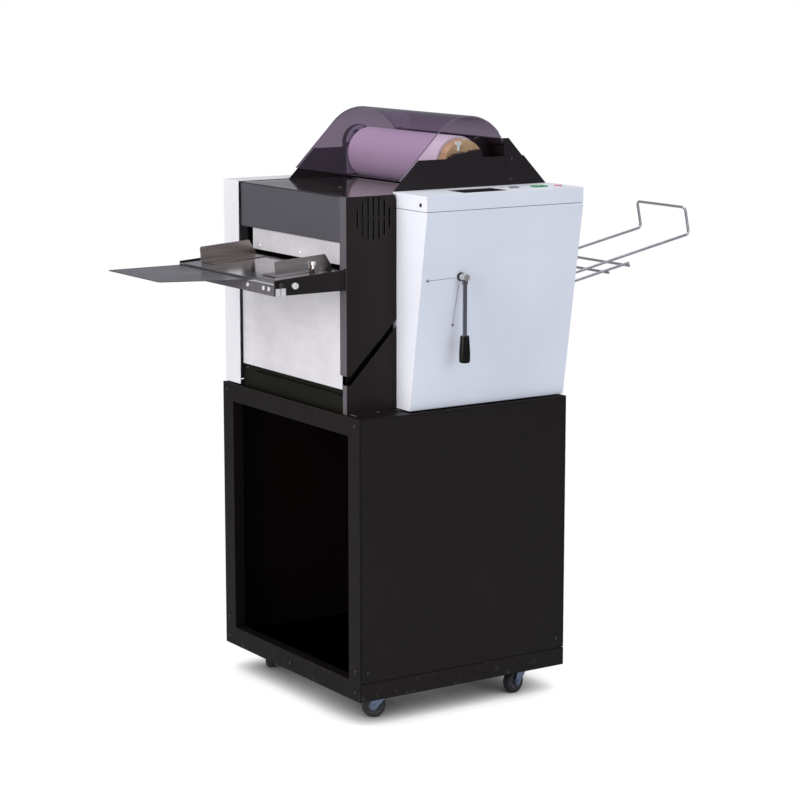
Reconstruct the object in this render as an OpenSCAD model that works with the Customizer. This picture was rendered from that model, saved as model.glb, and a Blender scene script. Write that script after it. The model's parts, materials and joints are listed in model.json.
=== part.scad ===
// Sheet-fed roll laminator on a castored stand: a feed tray at the front, a film roll under a
// smoked arch cover on top, a pressure lever on the operator's side and a wire catcher behind.
// Frame: origin on the floor, on the centre line, under the front face of the stand.
// +X is the operator's side, +Y runs from the feed side to the rear, +Z is up. Millimetres.

/* [Stand] */
// Width of the stand
stand_w = 560; // [540:5:600]
// Depth of the stand
stand_d = 520; // [516:1:524]
// Height of the top face of the stand above the floor
deck_z = 645; // [645:1:645]
// Height of the lower edge of the stand above the floor
skirt_z = 54; // [50:1:60]
// Width of the posts beside the front opening
post_w = 43; // [35:1:55]
// Height of the rail above the front opening
top_rail_h = 39; // [30:1:50]
// Height of the rail under the front opening
bottom_rail_h = 41; // [36:1:50]

/* [Castors] */
// Radius of a castor wheel
wheel_r = 25; // [24:0.5:25.5]
// Width of a castor wheel
wheel_w = 20; // [16:1:21]
// Distance from swivel axis to wheel axis
castor_trail = 25; // [20:1:27]
// Distance of the swivel axes from the centre line
castor_x = 236; // [220:1:240]
// Distance of the front swivel axes from the front of the stand
castor_front_y = 90; // [70:1:110]
// Distance of the rear swivel axes from the front of the stand
castor_rear_y = 438; // [420:1:450]
// Height of the whole castor, from floor to mounting face
castor_h = 70; // [68:1:72]

/* [Machine body] */
// Height of the black housing above the stand
housing_h = 443; // [440:1:443]
// Height of the white left cover above the stand
left_cover_h = 445; // [440:1:450]
// Distance from the stand to the seam under the control box
box_seam_h = 415; // [410:1:418]
// Height of the control box's top above the stand
box_top_h = 447; // [446:1:449]
// Width of the control box's overhang past the foot of the right cover
flare = 62; // [40:1:64]

/* [Feed tray] */
// Reach of the tray in front of the stand
tray_reach = 158; // [150:1:165]
// Reach of the extension plate past the tray
plate_reach = 170; // [150:1:175]
// Slope of the tray's table, in degrees
table_slope = 3.8; // [3.5:0.1:4]
// Height of the paper guides above the table
guide_h = 32.5; // [25:0.5:33]

/* [Film roll] */
// Radius of the film wound on the core
film_r = 55; // [50:0.5:56]
// Outer radius of the cardboard core
core_r = 48.5; // [46:0.5:49]
// Length of the film on the roll
film_len = 343; // [310:1:343]
// Outer radius of the arch of the cover
arch_r = 102.5; // [100:0.5:103]

/* [Rollers and lever] */
// Radius of the heated roller and of the pressure roller
roller_r = 30; // [28:0.5:30]
// Length of the lever's rod
rod_len = 112; // [90:1:125]
// Length of the lever's grip
grip_len = 56; // [45:1:60]
// Travel of the pressure roller when the lever is released
nip_travel = 4; // [3:0.5:4]

/* [Wire catcher] */
// Diameter of the wire
wire_d = 6; // [5:0.5:6]
// Distance from the front of the stand to the end of the wire loop
loop_end_y = 999; // [950:1:1000]
// Slope of the wires, in degrees
wire_slope = 11.6; // [11:0.1:12]

/* [Hidden] */
$fn = 64;

// fits and sheet thicknesses
gap = 0.4;        // between fixed panels
run = 0.06;       // radial clearance of a shaft in its bearing
key_gap = 0.5;    // around a moving key
sheet = 2;        // painted steel of the stand and the frame
skin = 1.6;       // thinner steel of the machine's covers
eps = 0.01;

// stand
stand_x = stand_w / 2;
open_x = stand_x - post_w;
open_z0 = skirt_z + bottom_rail_h;
open_z1 = deck_z - top_rail_h;
top_t = 3;
frame_t = 4;
panel_z0 = skirt_z + 39.5;
skirt_z1 = skirt_z + 38;
post_screw_x = stand_x - 18;
frame_screws = [for (s = [-1, 1], z = [skirt_z + 18, skirt_z + 63, deck_z - 15]) [s * post_screw_x, z]];
foot_screw = [0, skirt_z + 18];
// where each castor sits and the way its wheel trails: x sign, y, angle
castors = [[1, castor_front_y, 237], [-1, castor_front_y, 326],
    [1, castor_rear_y, 285], [-1, castor_rear_y, 200]];

// machine body
body_x0 = -210;            // left face of the black housing
body_x1 = 220;             // right face of the black housing
body_y0 = 10;              // front face of the black housing
body_y1 = stand_d - 1;     // rear face of the machine
seat_z = deck_z + 3;       // lower edge of the covers
hood_z1 = deck_z + housing_h;
hood_z0 = hood_z1 - 94;
strip_x = 195;             // inner edge of the side panel's front flange
left_cover_x = -274;
side_y = 129;              // front face of the right cover and the control box
side_x0 = 205.5;           // inner edge of the right cover
seam_z = deck_z + box_seam_h;
box_z1 = deck_z + box_top_h;
box_x1 = 330;
face_tilt = flare / (seam_z - 6 - seat_z);   // run over rise of the sloping side face
function face_x(z) = box_x1 - (seam_z - 6 - z) * face_tilt;
frame_x = 200;             // outer faces of the two inner frame plates

// front openings and panels
lower_panel_z = [deck_z + 49, deck_z + 250];
ledge_z = deck_z + 37;
entry_x = [-173, strip_x - gap];
entry_z = [deck_z + 302.5, hood_z0 - 2];
entry_y = body_y0 + 8;
entry_screws = [[-143, entry_z[0] + 9.5], [19, entry_z[0] + 9.5], [180, entry_z[0] + 9.5]];
groove = [[15.4, 719.5], [123.5, 825]];      // ends of the diagonal gap, y and z
side_panel_y = 128;        // rear edge of the black side panel

// vent: slots under a circle
vent_y = 74;
vent_z = deck_z + 398;
vent_pitch = 12.85;
vent_r = 43;
slot_w = 5;

// feed tray
tray_x = [-178, 217];
tray_z0 = 900;
table_z = 928.5;           // top of the table at its front edge
table_t = 1.2;
table_flat_y = 4;          // where the slope ends
plate_t = 1.8;
plate_z = 922.2;
plate_left = -174;
plate_right = [112, 53];   // right edge at the tray and at the tip
plate_inside = 30;
guide_x = [-140, 168];
guide_t = 1.2;

// film bay
bracket_t = 1.6;
bracket_x = 205;
bracket_top = hood_z1 + 64.5;
bracket_front = 126.8;     // where the sloping front edge of a bracket meets its foot
holder_x = 190;            // inner faces of the blocks that hold the roll's shaft
roll_y = 318;
roll_z = 1140.5;
roll_shaft_r = 8;
arch_c = [314, 1137];
arch_t = 2.5;
cover_foot = [146, 1112];  // front edge of the cover, y and z
hinge = [411.5, 1183];
hinge_pin_r = 3;
bay_z = hood_z1 + 0.3;     // lower edge of the bay's brackets and rear plate
bay_window = [188, 258, 395];   // window in the top plate: half width, front and rear edge
bar_pos = [270, 1081];     // guide bar axis, y and z
bar_journal_r = 4;
cheek_screws = [[426.5, 1146], [424, 1104]];

// rollers
nip_z = 940;
nip_y = 285;
nip_gap = 0.3;
journal_r = 8;
heat_z = nip_z + nip_gap / 2 + roller_r;
press_z = nip_z - nip_gap / 2 - roller_r;
face_len = 350;            // length of the rollers' working faces
lever_y = 224;
lever_z = 923.5;
lever_r = 7;
cam_r = 14;
cam_e = nip_travel / (2 * sin(44));
cam_phase = 44;
arm_z = lever_z - (cam_r - cam_e * sin(cam_phase)) - 0.5;
boss_x = 327;              // plane in which the lever's rod swings

// control panel
display_x = [244.5, 305];
display_y = [238, 345];
menu_pos = [266, 388];
start_pos = [275, 446];
stop_pos = [284, 489];

// wire catcher
wire_r = wire_d / 2;
loop_x = [-72, 100];
loop_end_z = 944;
stop_h = 62;
loop_inside = 540;         // length of the loop's runs behind its end bend
bend_r = 9;                // centre-line radius of the wire's bends
sleeve = [526, 484];       // ends of the loop's guide sleeves, measured back from its far end
tine_x = [-84, 112];
tine_end = [817, 891.3];
tine_slope = 11.3;
tine_len = 330;
cross_y = [756, 814];
exit_z = [912, 932];       // slot in the rear cover
exit_x = 168;

// mains parts
inlet_x = 240;
inlet_z = 690;
switch_z = 728;

// other single screws
base_screw = [-190, deck_z + 43];
box_screw = [307.7, seam_z + 13];
gusset_screw = [234, 74, deck_z + sheet];

to_front = [90, 0, 0];
to_right = [0, 90, 0];
to_left = [0, -90, 0];

module slab(lo, hi) {
    translate(lo) cube(hi - lo);
}

module rod_x(r, x0, x1, y, z) {
    translate([x0, y, z]) rotate([0, 90, 0]) cylinder(h = x1 - x0, r = r);
}

// outline in the Y-Z plane, drawn out along +X
module side_plate(x, t, outline) {
    translate([x, 0, 0]) rotate([90, 0, 90]) linear_extrude(t) polygon(outline);
}

// outline in the X-Z plane, drawn out along +Y
module front_plate(y, t, outline) {
    translate([0, y + t, 0]) rotate([90, 0, 0]) linear_extrude(t) polygon(outline);
}

// pan-head screw whose head lies outside along `turn` from a face at `at`
module screw(at, turn) {
    translate(at) rotate(turn) {
        cylinder(h = 2, r = 4);
        translate([0, 0, -4]) cylinder(h = 4 + eps, r = 2);
    }
}

module screw_hole(at, turn) {
    translate(at) rotate(turn) translate([0, 0, -8]) cylinder(h = 12, r = 2.1);
}

// ---------------------------------------------------------------- stand

module front_frame() {
    color([0.13, 0.12, 0.13]) difference() {
        union() {
            slab([-stand_x, 0, skirt_z], [stand_x, frame_t, deck_z - top_t - gap]);
            slab([-open_x - sheet, 0, open_z0 - sheet], [open_x + sheet, 24, open_z1 + sheet]);
        }
        slab([-open_x, -1, open_z0], [open_x, 25, open_z1]);
        for (p = frame_screws) screw_hole([p[0], 0, p[1]], to_front);
        screw_hole([foot_screw[0], 0, foot_screw[1]], to_front);
    }
}

module stand_side(s) {
    x = s > 0 ? stand_x - sheet : -stand_x;
    color([0.1, 0.09, 0.09]) difference() {
        slab([x, frame_t + gap, panel_z0], [x + sheet, stand_d - frame_t - gap, deck_z - top_t - gap]);
        for (y = [20, stand_d - 20])
            screw_hole([s * stand_x, y, panel_z0 + 22], s > 0 ? to_right : to_left);
    }
}

module left_side_panel() stand_side(-1);

module right_side_panel() stand_side(1);

module back_panel() {
    color([0.1, 0.09, 0.09])
        slab([-stand_x, stand_d - frame_t, panel_z0], [stand_x, stand_d, deck_z - top_t - gap]);
}

module stand_top() {
    color([0.1, 0.09, 0.09]) difference() {
        slab([-stand_x, 0, deck_z - top_t], [stand_x, stand_d, deck_z]);
        screw_hole(gusset_screw, [0, 0, 0]);
    }
}

// tray with an outer skirt, and an inner lip behind the joint under the panels
module floor_pan() {
    pan_z = castor_h + sheet;
    pad = 30;
    lip_x = stand_x - sheet - gap;
    lip_y = stand_d - frame_t - gap;
    lip_z1 = panel_z0 + 8;
    color([0.1, 0.09, 0.09]) difference() {
        union() {
            slab([-stand_x + sheet, frame_t + gap, pan_z], [stand_x - sheet, stand_d - sheet, pan_z + sheet]);
            for (s = [-1, 1])
                slab([s > 0 ? stand_x - sheet : -stand_x, frame_t + gap, skirt_z],
                    [s > 0 ? stand_x : -stand_x + sheet, stand_d, skirt_z1]);
            slab([-stand_x, stand_d - sheet, skirt_z], [stand_x, stand_d, skirt_z1]);
            slab([-lip_x, lip_y - sheet, pan_z], [lip_x, lip_y, lip_z1]);
            for (s = [-1, 1])
                slab([s > 0 ? lip_x - sheet : -lip_x, 30, pan_z],
                    [s > 0 ? lip_x : sheet - lip_x, lip_y, lip_z1]);
            for (c = castors)
                slab([c[0] * castor_x - pad, c[1] - pad, castor_h],
                    [c[0] * castor_x + pad, c[1] + pad, pan_z + eps]);
        }
        for (c = castors)
            translate([c[0] * castor_x, c[1], castor_h - 1]) cylinder(h = 4, r = 5 + run);
    }
}

module case_screws() {
    color([0.6, 0.6, 0.62]) {
        for (p = frame_screws) screw([p[0], 0, p[1]], to_front);
        screw([foot_screw[0], 0, foot_screw[1]], to_front);
        for (s = [-1, 1], y = [20, stand_d - 20])
            screw([s * stand_x, y, panel_z0 + 22], s > 0 ? to_right : to_left);
        for (p = entry_screws) screw([p[0], entry_y, p[1]], to_front);
        for (s = [-1, 1], p = cheek_screws)
            screw([s * bracket_x, p[0], p[1]], s > 0 ? to_right : to_left);
        screw([base_screw[0], body_y0 + 2, base_screw[1]], to_front);
        screw([box_screw[0], side_y, box_screw[1]], to_front);
        screw(gusset_screw, [0, 0, 0]);
    }
}

// ---------------------------------------------------------------- castors

module on_castor(i) {
    c = castors[i];
    translate([c[0] * castor_x, c[1], 0]) rotate([0, 0, c[2]]) children();
}

module castor_fork(i) {
    leg_t = 2.5;
    leg_y = wheel_w / 2 + 1.5;
    crown_z = 2 * wheel_r + 4;
    color([0.62, 0.68, 0.78]) on_castor(i) {
        translate([0, 0, crown_z]) cylinder(h = castor_h - crown_z - gap, r = 17);
        translate([0, 0, castor_h - 1]) cylinder(h = 3.5, r = 5);
        slab([-12, -leg_y - leg_t, crown_z], [24, leg_y + leg_t, crown_z + 3]);
        for (y = [-leg_y - leg_t, leg_y]) {
            translate([0, y + leg_t, 0]) rotate([90, 0, 0]) linear_extrude(leg_t) {
                translate([castor_trail, wheel_r]) circle(r = 8);
                polygon([[-12, crown_z + 3], [24, crown_z + 3],
                    [castor_trail + 7.6, wheel_r + 2.5], [castor_trail - 4, wheel_r - 6.9]]);
            }
        }
        translate([castor_trail, leg_y + leg_t + 2, wheel_r]) rotate([90, 0, 0])
            cylinder(h = 2 * (leg_y + leg_t + 2), r = 4);
    }
}

module castor_wheel(i) {
    edge = 3;
    half = wheel_w / 2;
    color([0.08, 0.08, 0.08]) on_castor(i)
        translate([castor_trail, 0, wheel_r]) rotate([90, 0, 0]) rotate_extrude($fn = 96)
            polygon([[4 + run, -half], [wheel_r - edge, -half], [wheel_r - 0.8, -half + 1],
                [wheel_r, -half + edge], [wheel_r, half - edge], [wheel_r - 0.8, half - 1],
                [wheel_r - edge, half], [4 + run, half]]);
}

module castor_fork_fr() castor_fork(0);
module castor_fork_fl() castor_fork(1);
module castor_fork_rr() castor_fork(2);
module castor_fork_rl() castor_fork(3);
module castor_wheel_fr() castor_wheel(0);
module castor_wheel_fl() castor_wheel(1);
module castor_wheel_rr() castor_wheel(2);
module castor_wheel_rl() castor_wheel(3);

// ---------------------------------------------------------------- machine frame

module base_pan() {
    x1 = 204;
    wall_z = ledge_z - 1;
    color([0.09, 0.09, 0.09]) difference() {
        union() {
            slab([body_x0 + gap, body_y0 + sheet, deck_z], [x1, body_y1 - 3, wall_z]);
            slab([body_x0 + gap, body_y0 + sheet, deck_z],
                [x1 - 8, body_y0 + 2 * sheet, lower_panel_z[0] - 0.6]);
            slab([-156, body_y0 - 4, ledge_z], [x1 - 6, body_y0 + 2 * sheet, ledge_z + sheet]);
        }
        slab([body_x0 + gap + sheet, body_y0 + 2 * sheet, deck_z + sheet],
            [x1 - sheet, body_y1 - 3 - sheet, lower_panel_z[0]]);
        screw_hole([base_screw[0], body_y0 + sheet, base_screw[1]], to_front);
    }
}

module frame_plate(x) {
    color([0.55, 0.56, 0.58]) difference() {
        slab([x, 20, deck_z + sheet], [x + 4, body_y1 - 8, hood_z1 - sheet]);
        rod_x(lever_r + run, x - 1, x + 5, lever_y, lever_z);
        rod_x(journal_r + run, x - 1, x + 5, nip_y, heat_z);
        rod_x(bar_journal_r + run, x - 1, x + 5, bar_pos[0], bar_pos[1]);
    }
}

module left_frame_plate() frame_plate(-frame_x);

module right_frame_plate() frame_plate(frame_x - 4);

module lower_front_panel() {
    z = lower_panel_z;
    x1 = 196;
    notch = 4;
    color([0.78, 0.78, 0.8])
        front_plate(body_y0 + 2, skin, [[body_x0 + gap, z[0]], [x1, z[0]], [x1, z[0] + 60],
            [x1 - notch, z[0] + 64], [x1 - notch, z[1] - 34], [x1, z[1] - 30], [x1, z[1] - 8],
            [x1 - 8, z[1]], [body_x0 + gap, z[1]]]);
}

module side_gusset() {
    z0 = deck_z + eps;
    color([0.08, 0.08, 0.08]) difference() {
        union() {
            side_plate(body_x1 - skin, skin, [[body_y0 - 2, z0], [side_y - 1, z0],
                [side_y - 1, groove[1][1] - 7], [groove[0][0] + 2, groove[0][1] - 14],
                [body_y0 - 2, groove[0][1] - 14]]);
            slab([205, body_y0 - 2, z0], [body_x1, body_y0, groove[0][1] - 14]);
            slab([body_x1 - skin, 16, z0], [body_x1 + 23, side_y - 2, z0 + sheet - eps]);
        }
        screw_hole(gusset_screw, [0, 0, 0]);
    }
}

module vent_side_panel() {
    z0 = groove[0][1] + 5;
    color([0.08, 0.08, 0.08]) difference() {
        union() {
            side_plate(body_x1 - skin, skin, [[body_y0 - 2, z0], [groove[0][0] + 2, z0],
                [side_panel_y, groove[1][1] + 8], [side_panel_y, hood_z1 - 12],
                [side_panel_y - 8, hood_z1], [body_y0 - 2, hood_z1]]);
            slab([strip_x, body_y0 - 2, z0], [body_x1, body_y0 - 2 + skin, hood_z1]);
        }
        slab([tray_x[1] - 6, body_y0 - 4, tray_z0 - 1], [body_x1 - skin, body_y0 + 2, tray_z0 + 44]);
        for (k = [-3:3]) vent_column(k);
    }
}

module vent_column(k) {
    half = sqrt(vent_r * vent_r - pow(k * vent_pitch, 2));
    bridge = abs(k) < 3 ? 2.25 : 0;
    y = vent_y + k * vent_pitch;
    for (s = [-1, 1])
        slab([body_x1 - 4, y - slot_w / 2, vent_z + (s > 0 ? bridge : -half)],
            [body_x1 + 1, y + slot_w / 2, vent_z + (s > 0 ? half : -bridge)]);
}

module front_hood() {
    x1 = strip_x - gap;
    color([0.22, 0.2, 0.23]) {
        slab([body_x0 + gap, body_y0, hood_z0], [x1, body_y0 + skin, hood_z1 - skin - gap]);
        slab([body_x0 + gap, body_y0, hood_z0], [x1, body_y0 + 9, hood_z0 + skin]);
    }
}

module top_plate() {
    z0 = hood_z1 - skin;
    color([0.05, 0.05, 0.05]) difference() {
        union() {
            slab([body_x0 + gap, body_y0, z0], [body_x1 - skin - gap, side_y - 2, hood_z1]);
            slab([body_x0 + gap, side_y - 3, z0], [side_x0 - gap, body_y1 - 2 - gap, hood_z1]);
        }
        slab([-bay_window[0], bay_window[1], z0 - 1], [bay_window[0], bay_window[2], hood_z1 + 1]);
    }
}

module entry_plate() {
    color([0.82, 0.82, 0.84]) difference() {
        union() {
            slab([entry_x[0], entry_y, entry_z[0]], [entry_x[1], entry_y + skin, entry_z[1]]);
            slab([entry_x[0], entry_y, entry_z[0]], [entry_x[1], entry_y + 14, entry_z[0] + skin]);
        }
        for (p = entry_screws) screw_hole([p[0], entry_y, p[1]], to_front);
    }
}

// ---------------------------------------------------------------- covers

module left_cover() {
    color([0.93, 0.93, 0.95]) difference() {
        slab([left_cover_x, 4, seat_z], [body_x0, stand_d, deck_z + left_cover_h]);
        slab([left_cover_x + skin, 4 + skin, seat_z - 1],
            [body_x0 + 1, stand_d - skin, deck_z + left_cover_h - skin]);
    }
}

module right_cover() {
    color([0.84, 0.86, 0.92]) difference() {
        front_plate(side_y, stand_d - side_y, [[side_x0, seat_z], [face_x(seat_z), seat_z],
            [box_x1, seam_z - 6], [box_x1, seam_z - 0.5], [side_x0, seam_z - 0.5]]);
        front_plate(side_y + skin, stand_d - side_y - 2 * skin, [[side_x0 - 1, seat_z - 1],
            [face_x(seat_z) - 1.65 * skin, seat_z - 1], [box_x1 - skin, seam_z - 6 + skin],
            [box_x1 - skin, seam_z + 1], [side_x0 - 1, seam_z + 1]]);
        translate([290, lever_y, lever_z]) rotate([0, 90, 0]) cylinder(h = 40, r = 7.6);
        slab([inlet_x - 14.2, stand_d - 5, inlet_z - 10.2], [inlet_x + 14.2, stand_d + 1, inlet_z + 10.2]);
        slab([inlet_x - 10.2, stand_d - 5, switch_z - 6.7], [inlet_x + 10.2, stand_d + 1, switch_z + 6.7]);
    }
}

module control_box() {
    t = skin;
    color([0.86, 0.88, 0.94]) difference() {
        slab([side_x0, side_y, seam_z + 0.5], [box_x1, stand_d, box_z1]);
        slab([side_x0 + t, side_y + t, seam_z - 1], [box_x1 - t, stand_d - t, box_z1 - t]);
        slab([display_x[0] - 0.2, display_y[0] - 0.2, box_z1 - 5],
            [display_x[1] + 0.2, display_y[1] + 0.2, box_z1 + 1]);
        key_window(menu_pos, [7, 9]);
        key_window(start_pos, [10, 16]);
        translate([stop_pos[0], stop_pos[1], box_z1 - 5]) cylinder(h = 6, r = 8 + key_gap);
        screw_hole([box_screw[0], side_y, box_screw[1]], to_front);
    }
}

module key_window(pos, half) {
    slab([pos[0] - half[0] - key_gap, pos[1] - half[1] - key_gap, box_z1 - 5],
        [pos[0] + half[0] + key_gap, pos[1] + half[1] + key_gap, box_z1 + 1]);
}

module rear_cover() {
    x1 = side_x0 - gap;
    y0 = body_y1 - 2;
    color([0.09, 0.09, 0.09]) difference() {
        union() {
            slab([body_x0 + gap, y0, seat_z], [x1, body_y1, hood_z1]);
            slab([-exit_x - 2, 340, exit_z[0] - 2], [exit_x + 2, y0 + eps, exit_z[0]]);
            for (x = loop_x) loop_run(x, -sleeve[0], -sleeve[1], wire_r + 3);
        }
        slab([-exit_x, y0 - 1, exit_z[0]], [exit_x, body_y1 + 1, exit_z[1]]);
        for (x = loop_x) loop_run(x, -sleeve[0] - 1, -sleeve[1] + 1, wire_r + run);
        for (x = tine_x) tine(x, -tine_len - 5, wire_r + run);
    }
}

// ---------------------------------------------------------------- control panel

module display() {
    color([0.1, 0.09, 0.1])
        slab([display_x[0], display_y[0], box_z1 - 6], [display_x[1], display_y[1], box_z1 + 0.3]);
}

// key cap with a wider foot under the panel that keeps it in place
module key_cap(pos, half) {
    foot = half + [2, 2];
    slab([pos[0] - half[0], pos[1] - half[1], box_z1 - 6],
        [pos[0] + half[0], pos[1] + half[1], box_z1 + 2.5]);
    slab([pos[0] - foot[0], pos[1] - foot[1], box_z1 - 7.5],
        [pos[0] + foot[0], pos[1] + foot[1], box_z1 - skin - 0.4]);
}

module menu_key() {
    color([0.55, 0.57, 0.62]) key_cap(menu_pos, [7, 9]);
}

module start_button() {
    color([0.1, 0.55, 0.25]) key_cap(start_pos, [10, 16]);
}

module stop_button() {
    color([0.8, 0.35, 0.45]) translate([stop_pos[0], stop_pos[1], 0]) {
        translate([0, 0, box_z1 - 6]) cylinder(h = 8.5, r = 8);
        translate([0, 0, box_z1 - 7.5]) cylinder(h = 7.5 - skin - 0.4, r = 10);
    }
}

// ---------------------------------------------------------------- feed tray

module on_table() {
    translate([0, -tray_reach, table_z]) rotate([table_slope, 0, 0]) children();
}

module tray_frame() {
    z1 = table_z + 3;
    back_y = body_y0 - 2.5;
    rise = (back_y + tray_reach) * tan(table_slope);
    outline = [[-tray_reach, tray_z0], [back_y, tray_z0], [back_y, z1 + rise], [-tray_reach, z1]];
    color([0.08, 0.08, 0.08]) {
        side_plate(tray_x[0], sheet, outline);
        side_plate(tray_x[1] - sheet, sheet, outline);
        slab([tray_x[0], -tray_reach, tray_z0], [tray_x[1], -tray_reach + sheet, plate_z - 0.7]);
        slab([tray_x[0], -tray_reach, tray_z0], [tray_x[1], -tray_reach + 20, tray_z0 + sheet]);
        slab([tray_x[0], back_y - sheet, tray_z0], [tray_x[1], back_y, plate_z - 0.7]);
        for (x = [-172, 186]) slab([x, back_y - eps, tray_z0 + 2], [x + 3, 60, plate_z - 0.7]);
    }
}

module tray_table() {
    x0 = tray_x[0] + sheet + 0.3;
    x1 = tray_x[1] - sheet - 0.3;
    rise = (tray_reach + table_flat_y) * tan(table_slope);
    flat_z = table_z + rise;
    color([0.75, 0.76, 0.78]) {
        side_plate(x0, x1 - x0, [[-tray_reach, table_z], [-tray_reach, table_z - 3.2],
            [-tray_reach + table_t, table_z - 3.2], [-tray_reach + table_t, table_z - table_t],
            [table_flat_y, flat_z - table_t], [table_flat_y, flat_z]]);
        slab([-165, table_flat_y - eps, flat_z - table_t], [176, nip_y - 34, flat_z]);
    }
}

module extension_plate() {
    corner = 4;
    tip_y = -tray_reach - plate_reach;
    y1 = -tray_reach + plate_inside;
    slant = (plate_right[0] - plate_right[1]) / plate_reach;
    right_in = plate_right[0] + slant * plate_inside;
    color([0.12, 0.11, 0.13]) translate([0, 0, plate_z]) linear_extrude(plate_t)
        polygon([[plate_left + corner, tip_y], [plate_right[1] - corner, tip_y],
            [plate_right[1] + 1, tip_y + corner], [right_in, y1], [plate_left, y1],
            [plate_left, tip_y + corner]]);
}

// bent guide: s = 1 has its foot towards +X
module paper_guide(x, s) {
    foot = 52;
    low = 0.4;
    front = 31;
    top_end = 150;
    color([0.72, 0.73, 0.75]) on_table() {
        translate([x - (s > 0 ? guide_t : 0), 0, 0]) rotate([90, 0, 90]) linear_extrude(guide_t)
            polygon([[front, low], [front, guide_h - 3], [front + 3, guide_h],
                [top_end, guide_h], [top_end + 17, low]]);
        slab([s > 0 ? x - guide_t : x - foot, front, low],
            [s > 0 ? x + foot : x + guide_t, top_end + 8, low + guide_t]);
    }
}

module left_guide() paper_guide(guide_x[0], 1);

module right_guide() {
    paper_guide(guide_x[1], -1);
    color([0.6, 0.6, 0.6]) on_table() {
        slab([guide_x[1] + guide_t - eps, 116, 0.4], [guide_x[1] + 14, 124, 12]);
    }
}

module tray_thumbscrews() {
    front = -tray_reach;
    right = tray_x[1];
    color([0.75, 0.75, 0.76]) {
        for (p = [[118, 4], [181, 4.5], [202, 4.5]])
            translate([p[0], front, tray_z0 + 14]) rotate(to_front) cylinder(h = 5, r = p[1]);
        rod_x(5, right, right + 8, front + 13, tray_z0 + 21.5);
        rod_x(6.5, right, right + 11, front + 44, tray_z0 + 19);
        slab([right, front + 3, tray_z0], [right + 1, front + 26, tray_z0 + 15]);
    }
}

// ---------------------------------------------------------------- film bay

module bracket(s) {
    x = s > 0 ? bracket_x - bracket_t : -bracket_x;
    y1 = hinge[0] + 0.5;
    slot_x = s > 0 ? [holder_x - 20, bracket_x - 3] : [3 - bracket_x, 20 - holder_x];
    slot_r = roll_shaft_r + run;
    color([0.09, 0.09, 0.09]) difference() {
        union() {
            side_plate(x, bracket_t, [[bracket_front, bay_z], [y1, bay_z], [y1, bracket_top],
                [bracket_front + bracket_top - bay_z, bracket_top]]);
            holder(s);
        }
        rod_x(slot_r, slot_x[0], slot_x[1], roll_y, roll_z);
        slab([slot_x[0], roll_y - slot_r, roll_z], [slot_x[1], roll_y + slot_r, roll_z + 80]);
    }
}

// block on the bracket's inner face that carries the end of the roll's shaft
module holder(s) {
    x = s > 0 ? holder_x : -bracket_x;
    t = bracket_x - holder_x;
    outline = s > 0
        ? [[274, bay_z], [356, bay_z], [354, 1149], [348, 1169], [286, 1161], [274, 1154]]
        : [[264, bay_z], [342, bay_z], [342, 1168], [264, 1168]];
    side_plate(x, t, outline);
    if (s < 0) rod_x(39, x, x + t, 303, 1162);
}

module left_bracket() bracket(-1);

module right_bracket() bracket(1);

// arm with a rounded end that stands behind the film roll
module stay_arm() {
    y1 = hinge[0] + 1.5;
    side_plate(134, 16, [[372, 1165], [y1, 1100], [y1, 1171], [396, 1185]]);
    rod_x(14, 134, 150, 385, 1176);
}

module bay_rear_plate() {
    y0 = hinge[0] - 4.5;
    y1 = hinge[0] + 6.5;
    yc = hinge[0] + 1;
    ear_z = hinge[1] + 7;
    shelf_z = hinge[1] - 12;
    lip_y = hinge[0] + 8.5;
    cheek = [[yc, bay_z], [stand_d - 1, bay_z], [457, bracket_top], [453, bracket_top],
        [y1, ear_z], [y0, ear_z], [y0, bracket_top + 0.5], [yc, bracket_top + 0.5]];
    color([0.08, 0.08, 0.08]) difference() {
        union() {
            for (x = [-bracket_x, bracket_x - bracket_t]) side_plate(x, bracket_t, cheek);
            slab([-bracket_x, yc, bay_z], [bracket_x, yc + sheet, shelf_z + sheet]);
            slab([-bracket_x, yc, shelf_z], [bracket_x, lip_y + sheet, shelf_z + sheet]);
            slab([-bracket_x, lip_y, shelf_z], [bracket_x, lip_y + sheet, hinge[1] + 3]);
            stay_arm();
        }
        for (x = [-bracket_x - 1, bracket_x - bracket_t - 1])
            rod_x(hinge_pin_r + run, x, x + 4, hinge[0], hinge[1]);
        for (s = [-1, 1], p = cheek_screws)
            screw_hole([s * bracket_x, p[0], p[1]], s > 0 ? to_right : to_left);
    }
}

// arch in the Y-Z plane with a straight front run at 45 degrees
function arch_pts(r) = [for (a = [135:-4.5:27]) [arch_c[0] + r * cos(a), arch_c[1] + r * sin(a)]];

function arch_outline() = let (
    out = arch_pts(arch_r),
    ins = arch_pts(arch_r - arch_t),
    step = arch_t * sqrt(0.5),
    foot = [out[0][0] - (out[0][1] - cover_foot[1]), cover_foot[1]]
) concat([foot], out, [for (i = [len(ins) - 1:-1:0]) ins[i]], [[foot[0] + 2 * step, foot[1]]]);

module film_cover() {
    color([0.42, 0.32, 0.5, 0.5]) difference() {
        side_plate(-bracket_x, 2 * bracket_x, arch_outline());
        for (s = [-1, 1])
            slab([s > 0 ? bracket_x - bracket_t - 0.6 : -bracket_x - 1, hinge[0] - 20, hinge[1] - 16],
                [s > 0 ? bracket_x + 1 : -bracket_x + bracket_t + 0.6, hinge[0] + 10, hinge[1] + 30]);
    }
}

module hinge_bar() {
    x = bracket_x - bracket_t - 0.6;
    color([0.08, 0.08, 0.08]) {
        slab([-x, hinge[0] - 5.5, hinge[1] - 5.5], [x, hinge[0] + 5.5, hinge[1] + 5.5]);
        rod_x(hinge_pin_r, -bracket_x, bracket_x, hinge[0], hinge[1]);
    }
}

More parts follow.
